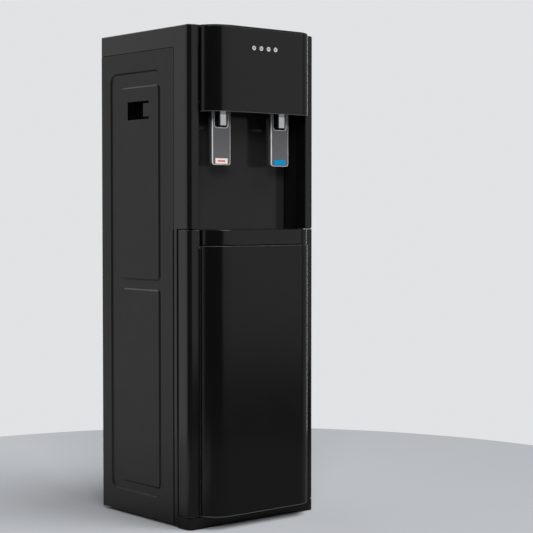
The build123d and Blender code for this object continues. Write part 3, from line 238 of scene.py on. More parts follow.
@dataclass(frozen=True)
class Finish:
    """One surface finish, made into a node material the first time it is asked for.

    Attributes:
        name: Material name.
        colour: Linear base colour.
        rough: Mean roughness.
        metallic: Metallic value of the shader.
        coat: Clear coat weight.
        coat_rough: Clear coat roughness.
        specular: Specular level of the shader.
        grain: Kind of close-up texture.
        mottle: How far the colour wanders, as a share of itself.
        rough_vary: How far the roughness wanders.
    """

    name: str
    colour: Colour
    rough: float
    metallic: float = 0.0
    coat: float = 0.0
    coat_rough: float = 0.05
    specular: float = 0.5
    grain: Grain = Grain.PLAIN
    mottle: float = 0.08
    rough_vary: float = 0.05

    def material(self) -> bpy.types.Material:
        """Gives the finish as a material.

        Returns:
            The material, built once and then shared.
        """
        mat = bpy.data.materials.get(self.name)
        if mat is None:
            mat = bpy.data.materials.new(self.name)
            mat.use_nodes = True
            self.dress(mat.node_tree)
        return mat

    def dress(self, tree: bpy.types.NodeTree) -> None:
        """Sets the shader and its noise layers.

        Args:
            tree: The material's new node tree.
        """
        spec = GRAINS[self.grain]
        nodes, links = tree.nodes, tree.links
        shader = nodes["Principled BSDF"]
        shader.inputs["Metallic"].default_value = self.metallic
        shader.inputs["Coat Weight"].default_value = self.coat
        shader.inputs["Coat Roughness"].default_value = self.coat_rough
        shader.inputs["Specular IOR Level"].default_value = self.specular

        coords = nodes.new("ShaderNodeTexCoord")
        mapping = nodes.new("ShaderNodeMapping")
        mapping.inputs["Scale"].default_value = spec.stretch
        links.new(coords.outputs["Object"], mapping.inputs["Vector"])

        tint = nodes.new("ShaderNodeMix")
        tint.data_type = "RGBA"
        dark = [c * (1.0 - self.mottle) for c in self.colour]
        pale = [min(1.0, c * (1.0 + self.mottle)) for c in self.colour]
        tint.inputs["A"].default_value = (*dark, 1.0)
        tint.inputs["B"].default_value = (*pale, 1.0)
        links.new(CLOUD.add(tree, coords.outputs["Object"]), tint.inputs["Factor"])
        links.new(tint.outputs["Result"], shader.inputs["Base Color"])

        spread = nodes.new("ShaderNodeMapRange")
        spread.inputs["To Min"].default_value = max(LEAST_ROUGH, self.rough - self.rough_vary)
        spread.inputs["To Max"].default_value = min(1.0, self.rough + self.rough_vary)
        links.new(WEAR.add(tree, mapping.outputs["Vector"]), spread.inputs["Value"])
        links.new(spread.outputs["Result"], shader.inputs["Roughness"])

        fine = Noise(spec.scale, FINE_DETAIL)
        bump = nodes.new("ShaderNodeBump")
        bump.inputs["Strength"].default_value = spec.bump
        bump.inputs["Distance"].default_value = spec.depth
        links.new(fine.add(tree, mapping.outputs["Vector"]), bump.inputs["Height"])
        links.new(bump.outputs["Normal"], shader.inputs["Normal"])


@dataclass(frozen=True)
class StripedFinish(Finish):
    """A finish with one printed bar across it.

    Attributes:
        bar: Linear colour of the bar.
        centre: Middle of the bar in metres.
        half_width: Half its length along X.
        half_height: Half its height along Z.
    """

    bar: Colour = (0.5, 0.03, 0.03)
    centre: Point = ORIGIN
    half_width: float = 0.010
    half_height: float = 0.001

    def dress(self, tree: bpy.types.NodeTree) -> None:
        """Sets the shader and its noise layers, and mixes the bar in.

        Args:
            tree: The material's new node tree.
        """
        super().dress(tree)
        nodes, links = tree.nodes, tree.links
        shader = nodes["Principled BSDF"]
        ground = shader.inputs["Base Color"].links[0].from_socket
        coords = nodes.new("ShaderNodeTexCoord")
        split = nodes.new("ShaderNodeSeparateXYZ")
        links.new(coords.outputs["Object"], split.inputs["Vector"])
        both = nodes.new("ShaderNodeMath")
        both.operation = "MULTIPLY"
        spans = (("X", self.centre[0], self.half_width), ("Z", self.centre[2], self.half_height))
        for factor, (axis, middle, reach) in enumerate(spans):
            test = nodes.new("ShaderNodeMath")
            test.operation = "COMPARE"
            test.inputs[1].default_value = middle
            test.inputs[2].default_value = reach
            links.new(split.outputs[axis], test.inputs[0])
            links.new(test.outputs["Value"], both.inputs[factor])
        paint = nodes.new("ShaderNodeMix")
        paint.data_type = "RGBA"
        paint.inputs["B"].default_value = (*self.bar, 1.0)
        links.new(both.outputs["Value"], paint.inputs["Factor"])
        links.new(ground, paint.inputs["A"])
        links.new(paint.outputs["Result"], shader.inputs["Base Color"])


def middle_of(node: str) -> Point:
    """Finds the centre of a CAD node's box.

    Args:
        node: Node name.

    Returns:
        The centre in metres.
    """
    low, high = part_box(node)
    return tuple((a + b) / 2 for a, b in zip(low, high))


FRAME_BLACK = Finish(
    "satin_frame_black", (0.0042, 0.0043, 0.0047), 0.15, grain=Grain.POLISH, rough_vary=0.03
)
FRONT_BLACK = Finish(
    "gloss_front_black", (0.0026, 0.0027, 0.0030), 0.20, grain=Grain.POLISH, rough_vary=0.03
)
DOOR_BLACK = Finish(
    "gloss_door_black", (0.0028, 0.0029, 0.0032), 0.22, specular=0.42, grain=Grain.POLISH, rough_vary=0.03
)
# Light grey for the rounded edges of black front parts: a painted highlight standing in for light caught on
# those edges
PAINTED_HIGHLIGHT_GREY = Finish("painted_highlight_grey", (0.200, 0.202, 0.210), 0.22, grain=Grain.POLISH, rough_vary=0.02)
SPLASH_BLACK = Finish(
    "gloss_splash_grey", (0.0185, 0.0187, 0.0196), 0.13, specular=0.22, grain=Grain.POLISH, rough_vary=0.02
)
NICHE_BLACK = Finish("matte_niche_black", (0.0035, 0.0035, 0.0038), 0.45, specular=0.25, grain=Grain.MOULD)
SIDE_STEEL = Finish("painted_side_steel", (0.0110, 0.0112, 0.0120), 0.36, specular=0.36, grain=Grain.PEEL)
ZINC = Finish(
    "zinc_plated_sheet", (0.46, 0.47, 0.48), 0.38, metallic=1.0, grain=Grain.ZINC, mottle=0.14, rough_vary=0.1
)
CHROME = Finish(
    "bright_chrome", (0.80, 0.81, 0.83), 0.08, metallic=1.0, grain=Grain.POLISH, mottle=0.03, rough_vary=0.02
)
# Near-white for the levers' chrome rim: the chrome's reflection of the bright room painted into its colour
RIM_PAINTED_REFLECTION = Finish(
    "lever_rim_painted_reflection", (0.95, 0.953, 0.96), 0.26, grain=Grain.POLISH, mottle=0.03, rough_vary=0.03
)
LEVER_GREY = Finish("satin_lever_grey", (0.117, 0.118, 0.123), 0.42, grain=Grain.MOULD)
LEVER_BODY = Finish("lever_body_grey", (0.080, 0.081, 0.085), 0.24, grain=Grain.POLISH, rough_vary=0.03)
HOT_PALE = StripedFinish(
    "marker_hot",
    (0.95, 0.79, 0.74),
    0.32,
    bar=(0.60, 0.10, 0.08),
    centre=middle_of("hot_marker"),
    half_width=0.0095,
    half_height=0.0014,
)
COLD_BLUE = Finish("marker_cold", (0.001, 0.265, 0.575), 0.34, specular=0.15)
LAMP_GREY = Finish("lamp_ring_grey", (0.72, 0.73, 0.74), 0.26)
LAMP_SMOKE = Finish("lamp_lens_smoke", (0.300, 0.304, 0.312), 0.12)
RUBBER = Finish("foot_rubber", (0.016, 0.016, 0.016), 0.75, grain=Grain.MOULD)
# Black for strips set in the gaps round the door and behind the side panels' seams, as painted shade
GAP_SHADE_BLACK = Finish("gap_shade_black", (0.004, 0.004, 0.004), 0.80, specular=0.1, grain=Grain.MOULD)
GRILLE = Finish("grille_charcoal", (0.010, 0.010, 0.011), 0.42, specular=0.3, grain=Grain.MOULD)
PIN_STEEL = Finish("ground_steel", (0.55, 0.55, 0.56), 0.26, metallic=1.0, grain=Grain.BRUSH)
TANK_STEEL = Finish("brushed_tank_steel", (0.58, 0.58, 0.59), 0.30, metallic=1.0, grain=Grain.BRUSH)
FOAM = Finish("white_foam", (0.80, 0.80, 0.78), 0.80, grain=Grain.FOAM)
JACKET = Finish("felt_jacket", (0.38, 0.38, 0.37), 0.90, grain=Grain.FOAM, mottle=0.15)
HEATER = Finish("heater_band_metal", (0.44, 0.36, 0.22), 0.40, metallic=1.0, grain=Grain.ZINC)
MACHINE = Finish("machine_black_paint", (0.014, 0.014, 0.015), 0.32, grain=Grain.PEEL)
PIPE = Finish("white_pipe", (0.72, 0.73, 0.74), 0.42)
FILTER = Finish("white_filter_shell", (0.78, 0.79, 0.80), 0.25, coat=0.3, grain=Grain.POLISH, mottle=0.03)
FITTING = Finish("grey_fitting", (0.26, 0.27, 0.28), 0.45, grain=Grain.MOULD)
BOARD = Finish("board_green", (0.020, 0.120, 0.050), 0.40)
SWITCH_RED = Finish("switch_red", (0.45, 0.020, 0.016), 0.28)
SWITCH_GREEN = Finish("switch_green", (0.016, 0.240, 0.060), 0.28)
MAGNET = Finish("magnet_grey", (0.06, 0.06, 0.065), 0.55, grain=Grain.ZINC)
LINER = Finish("liner_grey", (0.10, 0.10, 0.105), 0.45, grain=Grain.MOULD)


def remade(obj: bpy.types.Object) -> bpy.types.Object:
    """Turns an object's evaluated shape into its plain mesh and drops its modifiers.

    Args:
        obj: A mesh object with modifiers.

    Returns:
        The same object.
    """
    graph = bpy.context.evaluated_depsgraph_get()
    mesh = bpy.data.meshes.new_from_object(obj.evaluated_get(graph))
    obj.modifiers.clear()
    obj.data = mesh
    return obj


def new_object(name: str, data: bpy.types.ID) -> bpy.types.Object:
    """Links a mesh, a lamp or a camera into the scene as an object at the origin.

    Args:
        name: Object name.
        data: What it holds. A mesh has its place in its points.

    Returns:
        The object.
    """
    obj = bpy.data.objects.new(name, data)
    bpy.context.scene.collection.objects.link(obj)
    return obj


def settle(obj: bpy.types.Object, body: str, finish: Finish | None = None) -> None:
    """Gives a new piece its finish and body, and logs it.

    Args:
        obj: The piece.
        body: CAD body that it rides on.
        finish: Finish to assign, or None to keep the mesh's own.
    """
    if finish is not None:
        obj.data.materials.clear()
        obj.data.materials.append(finish.material())
    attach(obj, body)
    LOG.info("%s rides on %s", obj.name, body)


def extruded(outline: list[Point], along: Point) -> bmesh.types.BMesh:
    """Extrudes a flat outline.

    Args:
        outline: Its corners in order.
        along: Direction and length of the extrusion.

    Returns:
        The closed shape.
    """
    shape = bmesh.new()
    face = shape.faces.new([shape.verts.new(corner) for corner in outline])
    grown = bmesh.ops.extrude_face_region(shape, geom=[face])
    far = [v for v in grown["geom"] if isinstance(v, bmesh.types.BMVert)]
    bmesh.ops.translate(shape, vec=along, verts=far)
    bmesh.ops.recalc_face_normals(shape, faces=shape.faces)
    return shape


def block(sizes: Point, middle: Point = ORIGIN) -> bmesh.types.BMesh:
    """Makes a box.

    Args:
        sizes: Its lengths along X, Y and Z.
        middle: Its centre.

    Returns:
        The closed shape.
    """
    shape = bmesh.new()
    bmesh.ops.create_cube(shape, size=1.0)
    bmesh.ops.scale(shape, vec=sizes, verts=shape.verts)
    bmesh.ops.translate(shape, vec=middle, verts=shape.verts)
    return shape


def lathe(profile: list[Pair], steps: int) -> bmesh.types.BMesh:
    """Turns a profile about the Y axis.

    Args:
        profile: Points as (radius, Y), from axis to axis.
        steps: Steps round the turn.

    Returns:
        The closed shape.
    """
    shape = bmesh.new()
    points = [shape.verts.new((radius, y, 0.0)) for radius, y in profile]
    edges = [shape.edges.new(pair) for pair in zip(points, points[1:])]
    bmesh.ops.spin(
        shape, geom=points + edges, cent=ORIGIN, axis=REARWARD, angle=math.tau, steps=steps, use_merge=True
    )
    bmesh.ops.remove_doubles(shape, verts=shape.verts, dist=LATHE_WELD)
    bmesh.ops.recalc_face_normals(shape, faces=shape.faces)
    return shape


def rounded(shape: bmesh.types.BMesh, width: float) -> bmesh.types.BMesh:
    """Rounds every edge of a small shape.

    Args:
        shape: The shape, changed in place.
        width: Width of the rounding.

    Returns:
        The same shape.
    """
    bmesh.ops.bevel(shape, geom=shape.edges[:], offset=width, segments=ROUND_STEPS, affect="EDGES")
    return shape


def part_at(shape: bmesh.types.BMesh, place: Point, normal: Point) -> None:
    """Cuts a shape's faces along a plane and keeps both sides.

    Args:
        shape: The shape, changed in place.
        place: A point of the plane.
        normal: Direction across the plane.
    """
    whole = [*shape.verts, *shape.edges, *shape.faces]
    bmesh.ops.bisect_plane(shape, geom=whole, plane_co=place, plane_no=normal)


def as_mesh(name: str, shape: bmesh.types.BMesh, smooth: float = SMOOTH_ANGLE) -> bpy.types.Mesh:
    """Turns a shape into a mesh with its sharp edges marked.

    Args:
        name: Mesh name.
        shape: The shape, which is used up.
        smooth: Angle in degrees below which faces blend.

    Returns:
        The mesh.
    """
    mesh = bpy.data.meshes.new(name)
    shape.to_mesh(mesh)
    shape.free()
    mesh.shade_smooth()
    mesh.set_sharp_from_angle(angle=math.radians(smooth))
    return mesh


# Named inputs of the node groups that repeat a unit
REPEAT_INPUTS = {
    "Unit": "NodeSocketGeometry",
    "Count": "NodeSocketInt",
    "Start": "NodeSocketVector",
    "Step": "NodeSocketVector",
    "Radius": "NodeSocketFloat",
    "Finish": "NodeSocketMaterial",
}


@dataclass(frozen=True)
class Repeat:
    """A unit repeated along a line or round an upright axis by a node group.

    Attributes:
        pattern: Row or ring.
        count: Number of units.
        start: First unit's place in a row, or the ring's centre.
        step: Offset from unit to unit in a row.
        radius: Radius of the ring.
    """

    pattern: Pattern
    count: int
    start: Point
    step: Point = ORIGIN
    radius: float = 0.0

    def group(self) -> bpy.types.NodeTree:
        """Builds the node group of the pattern.

        Returns:
            The group, built once and then shared.
        """
        known = bpy.data.node_groups.get(self.pattern.value)
        if known is not None:
            return known
        group = bpy.data.node_groups.new(self.pattern.value, "GeometryNodeTree")
        for label, kind in REPEAT_INPUTS.items():
            group.interface.new_socket(label, in_out="INPUT", socket_type=kind)
        group.interface.new_socket("Result", in_out="OUTPUT", socket_type="NodeSocketGeometry")
        nodes, links = group.nodes, group.links
        given = nodes.new("NodeGroupInput")
        place = nodes.new("GeometryNodeInstanceOnPoints")
        move = nodes.new("GeometryNodeTransform")
        real = nodes.new("GeometryNodeRealizeInstances")
        paint = nodes.new("GeometryNodeSetMaterial")
        done = nodes.new("NodeGroupOutput")
        if self.pattern is Pattern.ROW:
            points = nodes.new("GeometryNodeMeshLine")
            points.mode = "OFFSET"
            links.new(given.outputs["Count"], points.inputs["Count"])
            links.new(given.outputs["Step"], points.inputs["Offset"])
        else:
            points = nodes.new("GeometryNodeMeshCircle")
            links.new(given.outputs["Count"], points.inputs["Vertices"])
            links.new(given.outputs["Radius"], points.inputs["Radius"])
            spot = nodes.new("GeometryNodeInputPosition")
            split = nodes.new("ShaderNodeSeparateXYZ")
            turn = nodes.new("ShaderNodeMath")
            turn.operation = "ARCTAN2"
            join = nodes.new("ShaderNodeCombineXYZ")
            links.new(spot.outputs["Position"], split.inputs["Vector"])
            links.new(split.outputs["Y"], turn.inputs[0])
            links.new(split.outputs["X"], turn.inputs[1])
            links.new(turn.outputs["Value"], join.inputs["Z"])
            links.new(join.outputs["Vector"], place.inputs["Rotation"])
        links.new(points.outputs["Mesh"], place.inputs["Points"])
        links.new(given.outputs["Unit"], place.inputs["Instance"])
        links.new(place.outputs["Instances"], move.inputs["Geometry"])
        links.new(given.outputs["Start"], move.inputs["Translation"])
        links.new(move.outputs["Geometry"], real.inputs["Geometry"])
        links.new(real.outputs["Geometry"], paint.inputs["Geometry"])
        links.new(given.outputs["Finish"], paint.inputs["Material"])
        links.new(paint.outputs["Geometry"], done.inputs["Result"])
        return group

    def build(self, name: str, unit: bpy.types.Mesh, finish: Finish) -> bpy.types.Object:
        """Repeats a unit and keeps the result as a plain mesh.

        Args:
            name: Name of the new piece.
            unit: Mesh of one unit, about the origin.
            finish: Finish of every unit.

        Returns:
            The new piece.
        """
        obj = new_object(name, unit)
        group = self.group()
        modifier = obj.modifiers.new("repeat", "NODES")
        modifier.node_group = group
        sizes = {"Count": self.count, "Start": self.start, "Step": self.step, "Radius": self.radius}
        given = {item.name: item.identifier for item in group.interface.items_tree if item.in_out == "INPUT"}
        for label, value in sizes.items():
            modifier[given[label]] = value
        modifier[given["Finish"]] = finish.material()
        return remade(obj)


@dataclass(frozen=True)
class FlushJoint:
    """A level joint that two pieces meet in without a visible line.

    Attributes:
        z: Height of the joint.
        y: Where it ends towards the rear.
    """

    z: float
    y: float

    def holds(self, edge: bmesh.types.BMEdge) -> bool:
        """Tells whether both ends of an edge lie in the joint."""
        level = all(abs(v.co.z - self.z) < JOINT_SLACK for v in edge.verts)
        return level and all(v.co.y < self.y + JOINT_SLACK for v in edge.verts)


STILE_TOP = FlushJoint(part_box("left_stile")[1][2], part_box("left_stile")[1][1])
JOINTS = {node: STILE_TOP for node in ("left_stile", "right_stile", "top_cover")}


@dataclass
class SoftEdges:
    """Copies a CAD node, merges its triangles and rounds its sharp edges a little.

    Attributes:
        node: CAD node that the copy stands for.
        finish: Its finish.
        width: Bevel width in metres, or 0 for none.
        edge: Finish of the rounded edges where it differs, such as the painted highlight grey.
        segments: Bevel segments.
        fine: Edges shorter than this stay thin on a piece with painted highlight edges.
        reach: Edges farther behind the foremost point than this stay thin too.
        thin: Share of the width that a thin edge gets.
        clamp: Whether crowded edges narrow the bevel.
    """

    node: str
    finish: Finish
    width: float
    edge: Finish | None = None
    segments: int = ROUND_STEPS
    fine: float = 0.003
    reach: float = 0.0
    thin: float = 0.25
    clamp: bool = True

    def share(self, edge: bmesh.types.BMEdge, front: float, top: float) -> float:
        """Chooses how much of the width an edge gets.

        Args:
            edge: The edge.
            front: Smallest Y of the piece.
            top: Largest Z of the piece.

        Returns:
            Full width, or less for fine, rear and upper edges of a piece with painted highlight edges.
        """
        if self.edge is None:
            return 1.0
        rear = max(v.co.y for v in edge.verts) > front + self.reach
        upper = self.node in DIM_TOPS and min(v.co.z for v in edge.verts) > top - self.fine
        return self.thin if rear or upper or edge.calc_length() < self.fine else 1.0

    def weigh(self, shape: bmesh.types.BMesh) -> None:
        """Marks the edges to round, leaving out the flush joint of stiles and cover.

        Args:
            shape: The copy being worked on.
        """
        joint = JOINTS.get(self.node)
        if joint is not None:
            part_at(shape, (0.0, joint.y, 0.0), REARWARD)
        front = min(v.co.y for v in shape.verts)
        top = max(v.co.z for v in shape.verts)
        layer = shape.edges.layers.float.new("bevel_weight_edge")
        for edge in shape.edges:
            if len(edge.link_faces) != 2 or edge.calc_face_angle() < math.radians(SHARP_ANGLE):
                continue
            if joint is None or not joint.holds(edge):
                edge[layer] = self.share(edge, front, top)

    def copied(self) -> bpy.types.Mesh:
        """Copies the node's mesh with its triangles merged and its edges marked.

        Returns:
            The mesh.
        """
        mesh = frame["nodes"][self.node].data.copy()
        mesh.materials.clear()
        shape = bmesh.new()
        shape.from_mesh(mesh)
        bmesh.ops.remove_doubles(shape, verts=shape.verts, dist=WELD)
        bmesh.ops.dissolve_limit(
            shape,
            angle_limit=math.radians(FLAT_ANGLE),
            verts=shape.verts,
            edges=shape.edges,
            use_dissolve_boundaries=False,
        )
        self.weigh(shape)
        shape.to_mesh(mesh)
        shape.free()
        mesh.shade_smooth()
        return mesh

    def build(self) -> None:
        """Rounds and dresses the copy, and lets it replace the node."""
        mesh = self.copied()
        obj = new_object(self.node + "_shell", mesh)
        if self.width:
            bevel = obj.modifiers.new("edge", "BEVEL")
            bevel.width = self.width
            bevel.segments = self.segments
            bevel.limit_method = "WEIGHT"
            bevel.use_clamp_overlap = self.clamp
            if self.edge is not None:
                mesh.materials.append(self.finish.material())
                mesh.materials.append(self.edge.material())
                bevel.material = EDGE_INDEX
        mesh.set_sharp_from_angle(angle=math.radians(SHARP_ANGLE))
        flat = obj.modifiers.new("flat", "WEIGHTED_NORMAL")
        flat.mode = "FACE_AREA"
        flat.weight = FACE_WEIGHT
        flat.keep_sharp = True
        remade(obj)
        body = frame["nodes"][self.node]["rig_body"]
        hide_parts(self.node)
        settle(obj, body, None if self.edge else self.finish)


@dataclass
class LeverEdges(SoftEdges):
    """A lever whose rim round its front and its window is painted near-white, a painted reflection of the
    bright room in its chrome.

    Attributes:
        wall: Depth from which a wall behind the front counts as a side of the lever.
        band: How far the rim reaches on to the sides.
        upright: A face whose normal has less than this along Y counts as a side.
    """

    wall: float = 0.0020
    band: float = 0.0025
    upright: float = 0.5

    def weigh(self, shape: bmesh.types.BMesh) -> None:
        """Parts the band of painted reflection off the sides, then marks the edges to round.

        Args:
            shape: The copy being worked on.
        """
        rear = min(v.co.y for v in shape.verts) + self.band
        part_at(shape, (0.0, rear, 0.0), REARWARD)
        for face in shape.faces:
            side = abs(face.normal.y) < self.upright
            face.material_index = int(side and face.calc_center_median().y < rear)
        super().weigh(shape)

    def share(self, edge: bmesh.types.BMEdge, front: float, top: float) -> float:
        """Chooses how much of the width an edge gets.

        Args:
            edge: The edge.
            front: Smallest Y of the piece.
            top: Largest Z of the piece.

        Returns:
            Full width along the front of a deep wall, less elsewhere, and none round the pin's bore.
        """
        ahead = all(v.co.y < front + TOUCH for v in edge.verts)
        if not ahead and edge.calc_length() < self.fine:
            return 0.0
        depth = max(v.co.y for face in edge.link_faces for v in face.verts) - front
        return 1.0 if ahead and depth > self.wall else self.thin


@dataclass
class PanelEdges(SoftEdges):
    """A side panel whose front bend stands back a little beside the door.

    Attributes:
        sill: Height of the door's top edge.
        bend: Depth of the bend.
        step: Height over which the bend comes forward again.
    """

    sill: float = DOOR_HIGH[2]
    bend: float = 0.00105
    step: float = 0.0010

    def weigh(self, shape: bmesh.types.BMesh) -> None:
        """Sets the bend back below the sill, then marks the edges to round.

        Args:
            shape: The copy being worked on.
        """
        front = min(v.co.y for v in shape.verts)
        for height in (self.sill, self.sill + self.step):
            part_at(shape, (0.0, 0.0, height), UPWARD)
        for vert in shape.verts:
            if vert.co.y < front + self.bend and vert.co.z < self.sill + self.step / 2:
                vert.co.y += PANEL_RELIEF
        super().weigh(shape)


@dataclass
class StileEdges(SoftEdges):
    """A stile whose outer edge beside the door is rounder than its other edges.

    Attributes:
        jamb: Y of the stile's front beside the door.
    """

    jamb: float = DOOR_HIGH[1] + DOOR_GAP

    def share(self, edge: bmesh.types.BMEdge, front: float, top: float) -> float:
        """Chooses how much of the width an edge gets.

        Args:
            edge: The edge.
            front: Smallest Y of the piece.
            top: Largest Z of the piece.

        Returns:
            Full width down the outer edge beside the door, and less elsewhere.
        """
        outside = all(abs(v.co.x) > CAD_BOX[1][0] - TOUCH for v in edge.verts)
        beside = all(abs(v.co.y - self.jamb) < TOUCH for v in edge.verts)
        return 1.0 if outside and beside else self.thin


def soften(finish: Finish, width: float, *nodes: str) -> None:
    """Builds softened copies of nodes that share a finish.

    Args:
        finish: Their finish.
        width: Their edge width in metres.
        *nodes: CAD nodes.
    """
    for node in nodes:
        SoftEdges(node, finish, width).build()


@dataclass
class Cabinet:
    """Cover, head, plinth, feet, side panels and stiles.

    Attributes:
        frame_edge: Edge width of cover and plinth.
        head_edge: Edge width of the head.
        head_shine: How far behind the head's front its edges get the painted highlight.
        ring_edge: Edge width of the lamp rings.
        lens_edge: Edge width of the lamp lenses.
        foot_edge: Edge width of the feet.
        panel_edge: Edge width of the side panels.
        jamb_edge: Edge width of the stiles beside the door.
        stile_share: Share of that width that the stiles' other edges get.
    """

    frame_edge: float = 0.6 * MM
    head_edge: float = 1.0 * MM
    head_shine: float = 0.042
    ring_edge: float = 0.25 * MM
    lens_edge: float = 0.2 * MM
    foot_edge: float = 0.4 * MM
    panel_edge: float = 0.4 * MM
    jamb_edge: float = 1.8 * MM
    stile_share: float = 1 / 3

    def build(self) -> None:
        """Builds the outer pieces."""
        soften(FRAME_BLACK, self.frame_edge, "top_cover", "plinth")
        SoftEdges("fascia", FRONT_BLACK, self.head_edge, PAINTED_HIGHLIGHT_GREY, reach=self.head_shine).build()
        soften(LAMP_GREY, self.ring_edge, "lamp_rings")
        soften(LAMP_SMOKE, self.lens_edge, "lamp_lenses")
        soften(RUBBER, self.foot_edge, "feet")
        for side in SIDES:
            PanelEdges(side + "_side_panel", SIDE_STEEL, self.panel_edge).build()
            StileEdges(
                side + "_stile", FRAME_BLACK, self.jamb_edge, thin=self.stile_share, clamp=False
            ).build()


@dataclass
class Niche:
    """Niche housing, splash panel, taps, levers, drip tray and grille.

    Attributes:
        housing_edge: Edge width of the housing.
        plate_edge: Edge width of splash panel, lever faces and grille.
        tap_edge: Edge width of the taps.
        nut_edge: Edge width of their nuts.
        small_edge: Edge width of markers and lever pins.
        tray_edge: Edge width of the drip tray.
        lever_edge: Edge width of the levers' rim.
        lever_steps: Steps across the rim.
        lever_share: Share of the rim's width that the levers' other edges get.
    """

    housing_edge: float = 0.4 * MM
    plate_edge: float = 0.3 * MM
    tap_edge: float = 0.8 * MM
    nut_edge: float = 0.5 * MM
    small_edge: float = 0.2 * MM
    tray_edge: float = 0.7 * MM
    lever_edge: float = 1.0 * MM
    lever_steps: int = 3
    lever_share: float = 0.1

    def build(self) -> None:
        """Builds the niche and what stands in it."""
        soften(NICHE_BLACK, self.housing_edge, "niche_housing")
        soften(SPLASH_BLACK, self.plate_edge, "splash_panel")
        soften(CHROME, self.tap_edge, "hot_tap", "cold_tap")
        soften(PIPE, self.nut_edge, "tap_nuts")
        soften(FRONT_BLACK, self.tray_edge, "drip_tray")
        soften(GRILLE, self.plate_edge, "drip_grille")
        self.levers()

    def levers(self) -> None:
        """Builds both levers with their faces, markers and pins."""
        for lever in ("hot_lever", "cold_lever"):
            LeverEdges(
                lever,
                LEVER_BODY,
                self.lever_edge,
                RIM_PAINTED_REFLECTION,
                segments=self.lever_steps,
                thin=self.lever_share,
                clamp=False,
            ).build()
        soften(LEVER_GREY, self.plate_edge, "hot_lever_face", "cold_lever_face")
        soften(HOT_PALE, self.small_edge, "hot_marker")
        soften(COLD_BLUE, self.small_edge, "cold_marker")
        soften(PIN_STEEL, self.small_edge, "lever_pins")


@dataclass
class Door:
    """Door frame, bulged panel, liner, hinge pins and catch.

    Attributes:
        frame_edge: Edge width of the frame.
        frame_shine: How far behind the frame's front its edges get the painted highlight.
        panel_edge: Edge width of the panel.
        panel_shine: How far behind the panel's front its edges get the painted highlight.
        liner_edge: Edge width of the liner.
        pin_edge: Edge width of the hinge pins.
        magnet_edge: Edge width of the magnet.
        catch_edge: Edge width of the striker plate.
    """

    frame_edge: float = 0.8 * MM
    frame_shine: float = 0.006
    panel_edge: float = 1.0 * MM
    panel_shine: float = 0.042
    liner_edge: float = 0.5 * MM
    pin_edge: float = 0.3 * MM
    magnet_edge: float = 0.4 * MM
    catch_edge: float = 0.2 * MM

    def build(self) -> None:
        """Builds the door and its hardware."""
        SoftEdges(
            "door_frame", FRAME_BLACK, self.frame_edge, PAINTED_HIGHLIGHT_GREY, reach=self.frame_shine, clamp=False
        ).build()
        SoftEdges("door_panel", DOOR_BLACK, self.panel_edge, PAINTED_HIGHLIGHT_GREY, reach=self.panel_shine).build()
        soften(LINER, self.liner_edge, "door_liner")
        soften(PIN_STEEL, self.pin_edge, "upper_hinge_pin", "lower_hinge_pin")
        soften(MAGNET, self.magnet_edge, "door_magnet")
        soften(ZINC, self.catch_edge, "catch_plate")


@dataclass
class WaterSystem:
    """Tanks, filters, pipes and compressor, with the sheets that carry them.

    Attributes:
        sheet_edge: Edge width of base pan, shelf and heater band.
        thin_edge: Edge width of partition and cold tank.
        machine_edge: Edge width of compressor, its mounts, filter head and filters.
        jacket_edge: Edge width of the hot tank's jacket.
        tank_edge: Edge width of the hot tank.
        foam_edge: Edge width of the foam block and its lid.
        rib_count: Grip ribs round one filter.
        rib_half: Half the width of a rib.
        rib_rise: How far a rib stands off the shell.
        rib_sink: How far its foot sits inside the shell.
        rib_length: Length of a rib.
        rib_below: How far under the filter head the ribs start.
        rib_round: Rounding of a rib, as a share of half its width.
    """

    sheet_edge: float = 0.3 * MM
    thin_edge: float = 0.2 * MM
    machine_edge: float = 0.6 * MM
    jacket_edge: float = 0.8 * MM
    tank_edge: float = 0.4 * MM
    foam_edge: float = 1.0 * MM
    rib_count: int = 24
    rib_half: float = 0.0015
    rib_rise: float = 0.0013
    rib_sink: float = 0.0006
    rib_length: float = 0.046
    rib_below: float = 0.014
    rib_round: float = 0.45

    def build(self) -> None:
        """Builds what stands behind the door."""
        soften(BOARD, UNROUNDED, "control_board")
        soften(ZINC, self.sheet_edge, "base_pan", "tank_shelf")
        soften(ZINC, self.thin_edge, "inner_partition")
        soften(MACHINE, self.machine_edge, "compressor")
        soften(RUBBER, self.machine_edge, "compressor_mounts")
        soften(JACKET, self.jacket_edge, "hot_tank_jacket")
        soften(TANK_STEEL, self.tank_edge, "hot_tank")
        soften(HEATER, self.sheet_edge, "heater_band")
        soften(FOAM, self.foam_edge, "cold_tank_insulation", "cold_tank_lid")
        soften(TANK_STEEL, self.thin_edge, "cold_tank")
        soften(FITTING, self.machine_edge, "filter_head")
        soften(PIPE, UNROUNDED, "hot_pipe", "cold_pipe", "feed_pipe", "inlet_pipe")
        for node, body in {"sediment_filter": Body.SEDIMENT, "carbon_filter": Body.CARBON}.items():
            soften(FILTER, self.machine_edge, node)
            self.ribs(node, body)

    def ribs(self, node: str, body: Body) -> None:
        """Rings a filter with upright grip ribs.

        Args:
            node: CAD node of the filter.
            body: Body that it turns with.
        """
        low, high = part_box(node)
        x, y, _ = middle_of(node)
        sizes = (self.rib_rise + self.rib_sink, 2 * self.rib_half, self.rib_length)
        unit = as_mesh("rib", rounded(block(sizes), self.rib_half * self.rib_round), ROUND_ANGLE)
        start = (x, y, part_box("filter_head")[0][2] - self.rib_below - self.rib_length / 2)
        radius = (high[0] - low[0]) / 2 + (self.rib_rise - self.rib_sink) / 2
        ring = Repeat(Pattern.RING, self.rib_count, start, radius=radius)
        settle(ring.build(node + "_ribs", unit, FILTER), body.value)


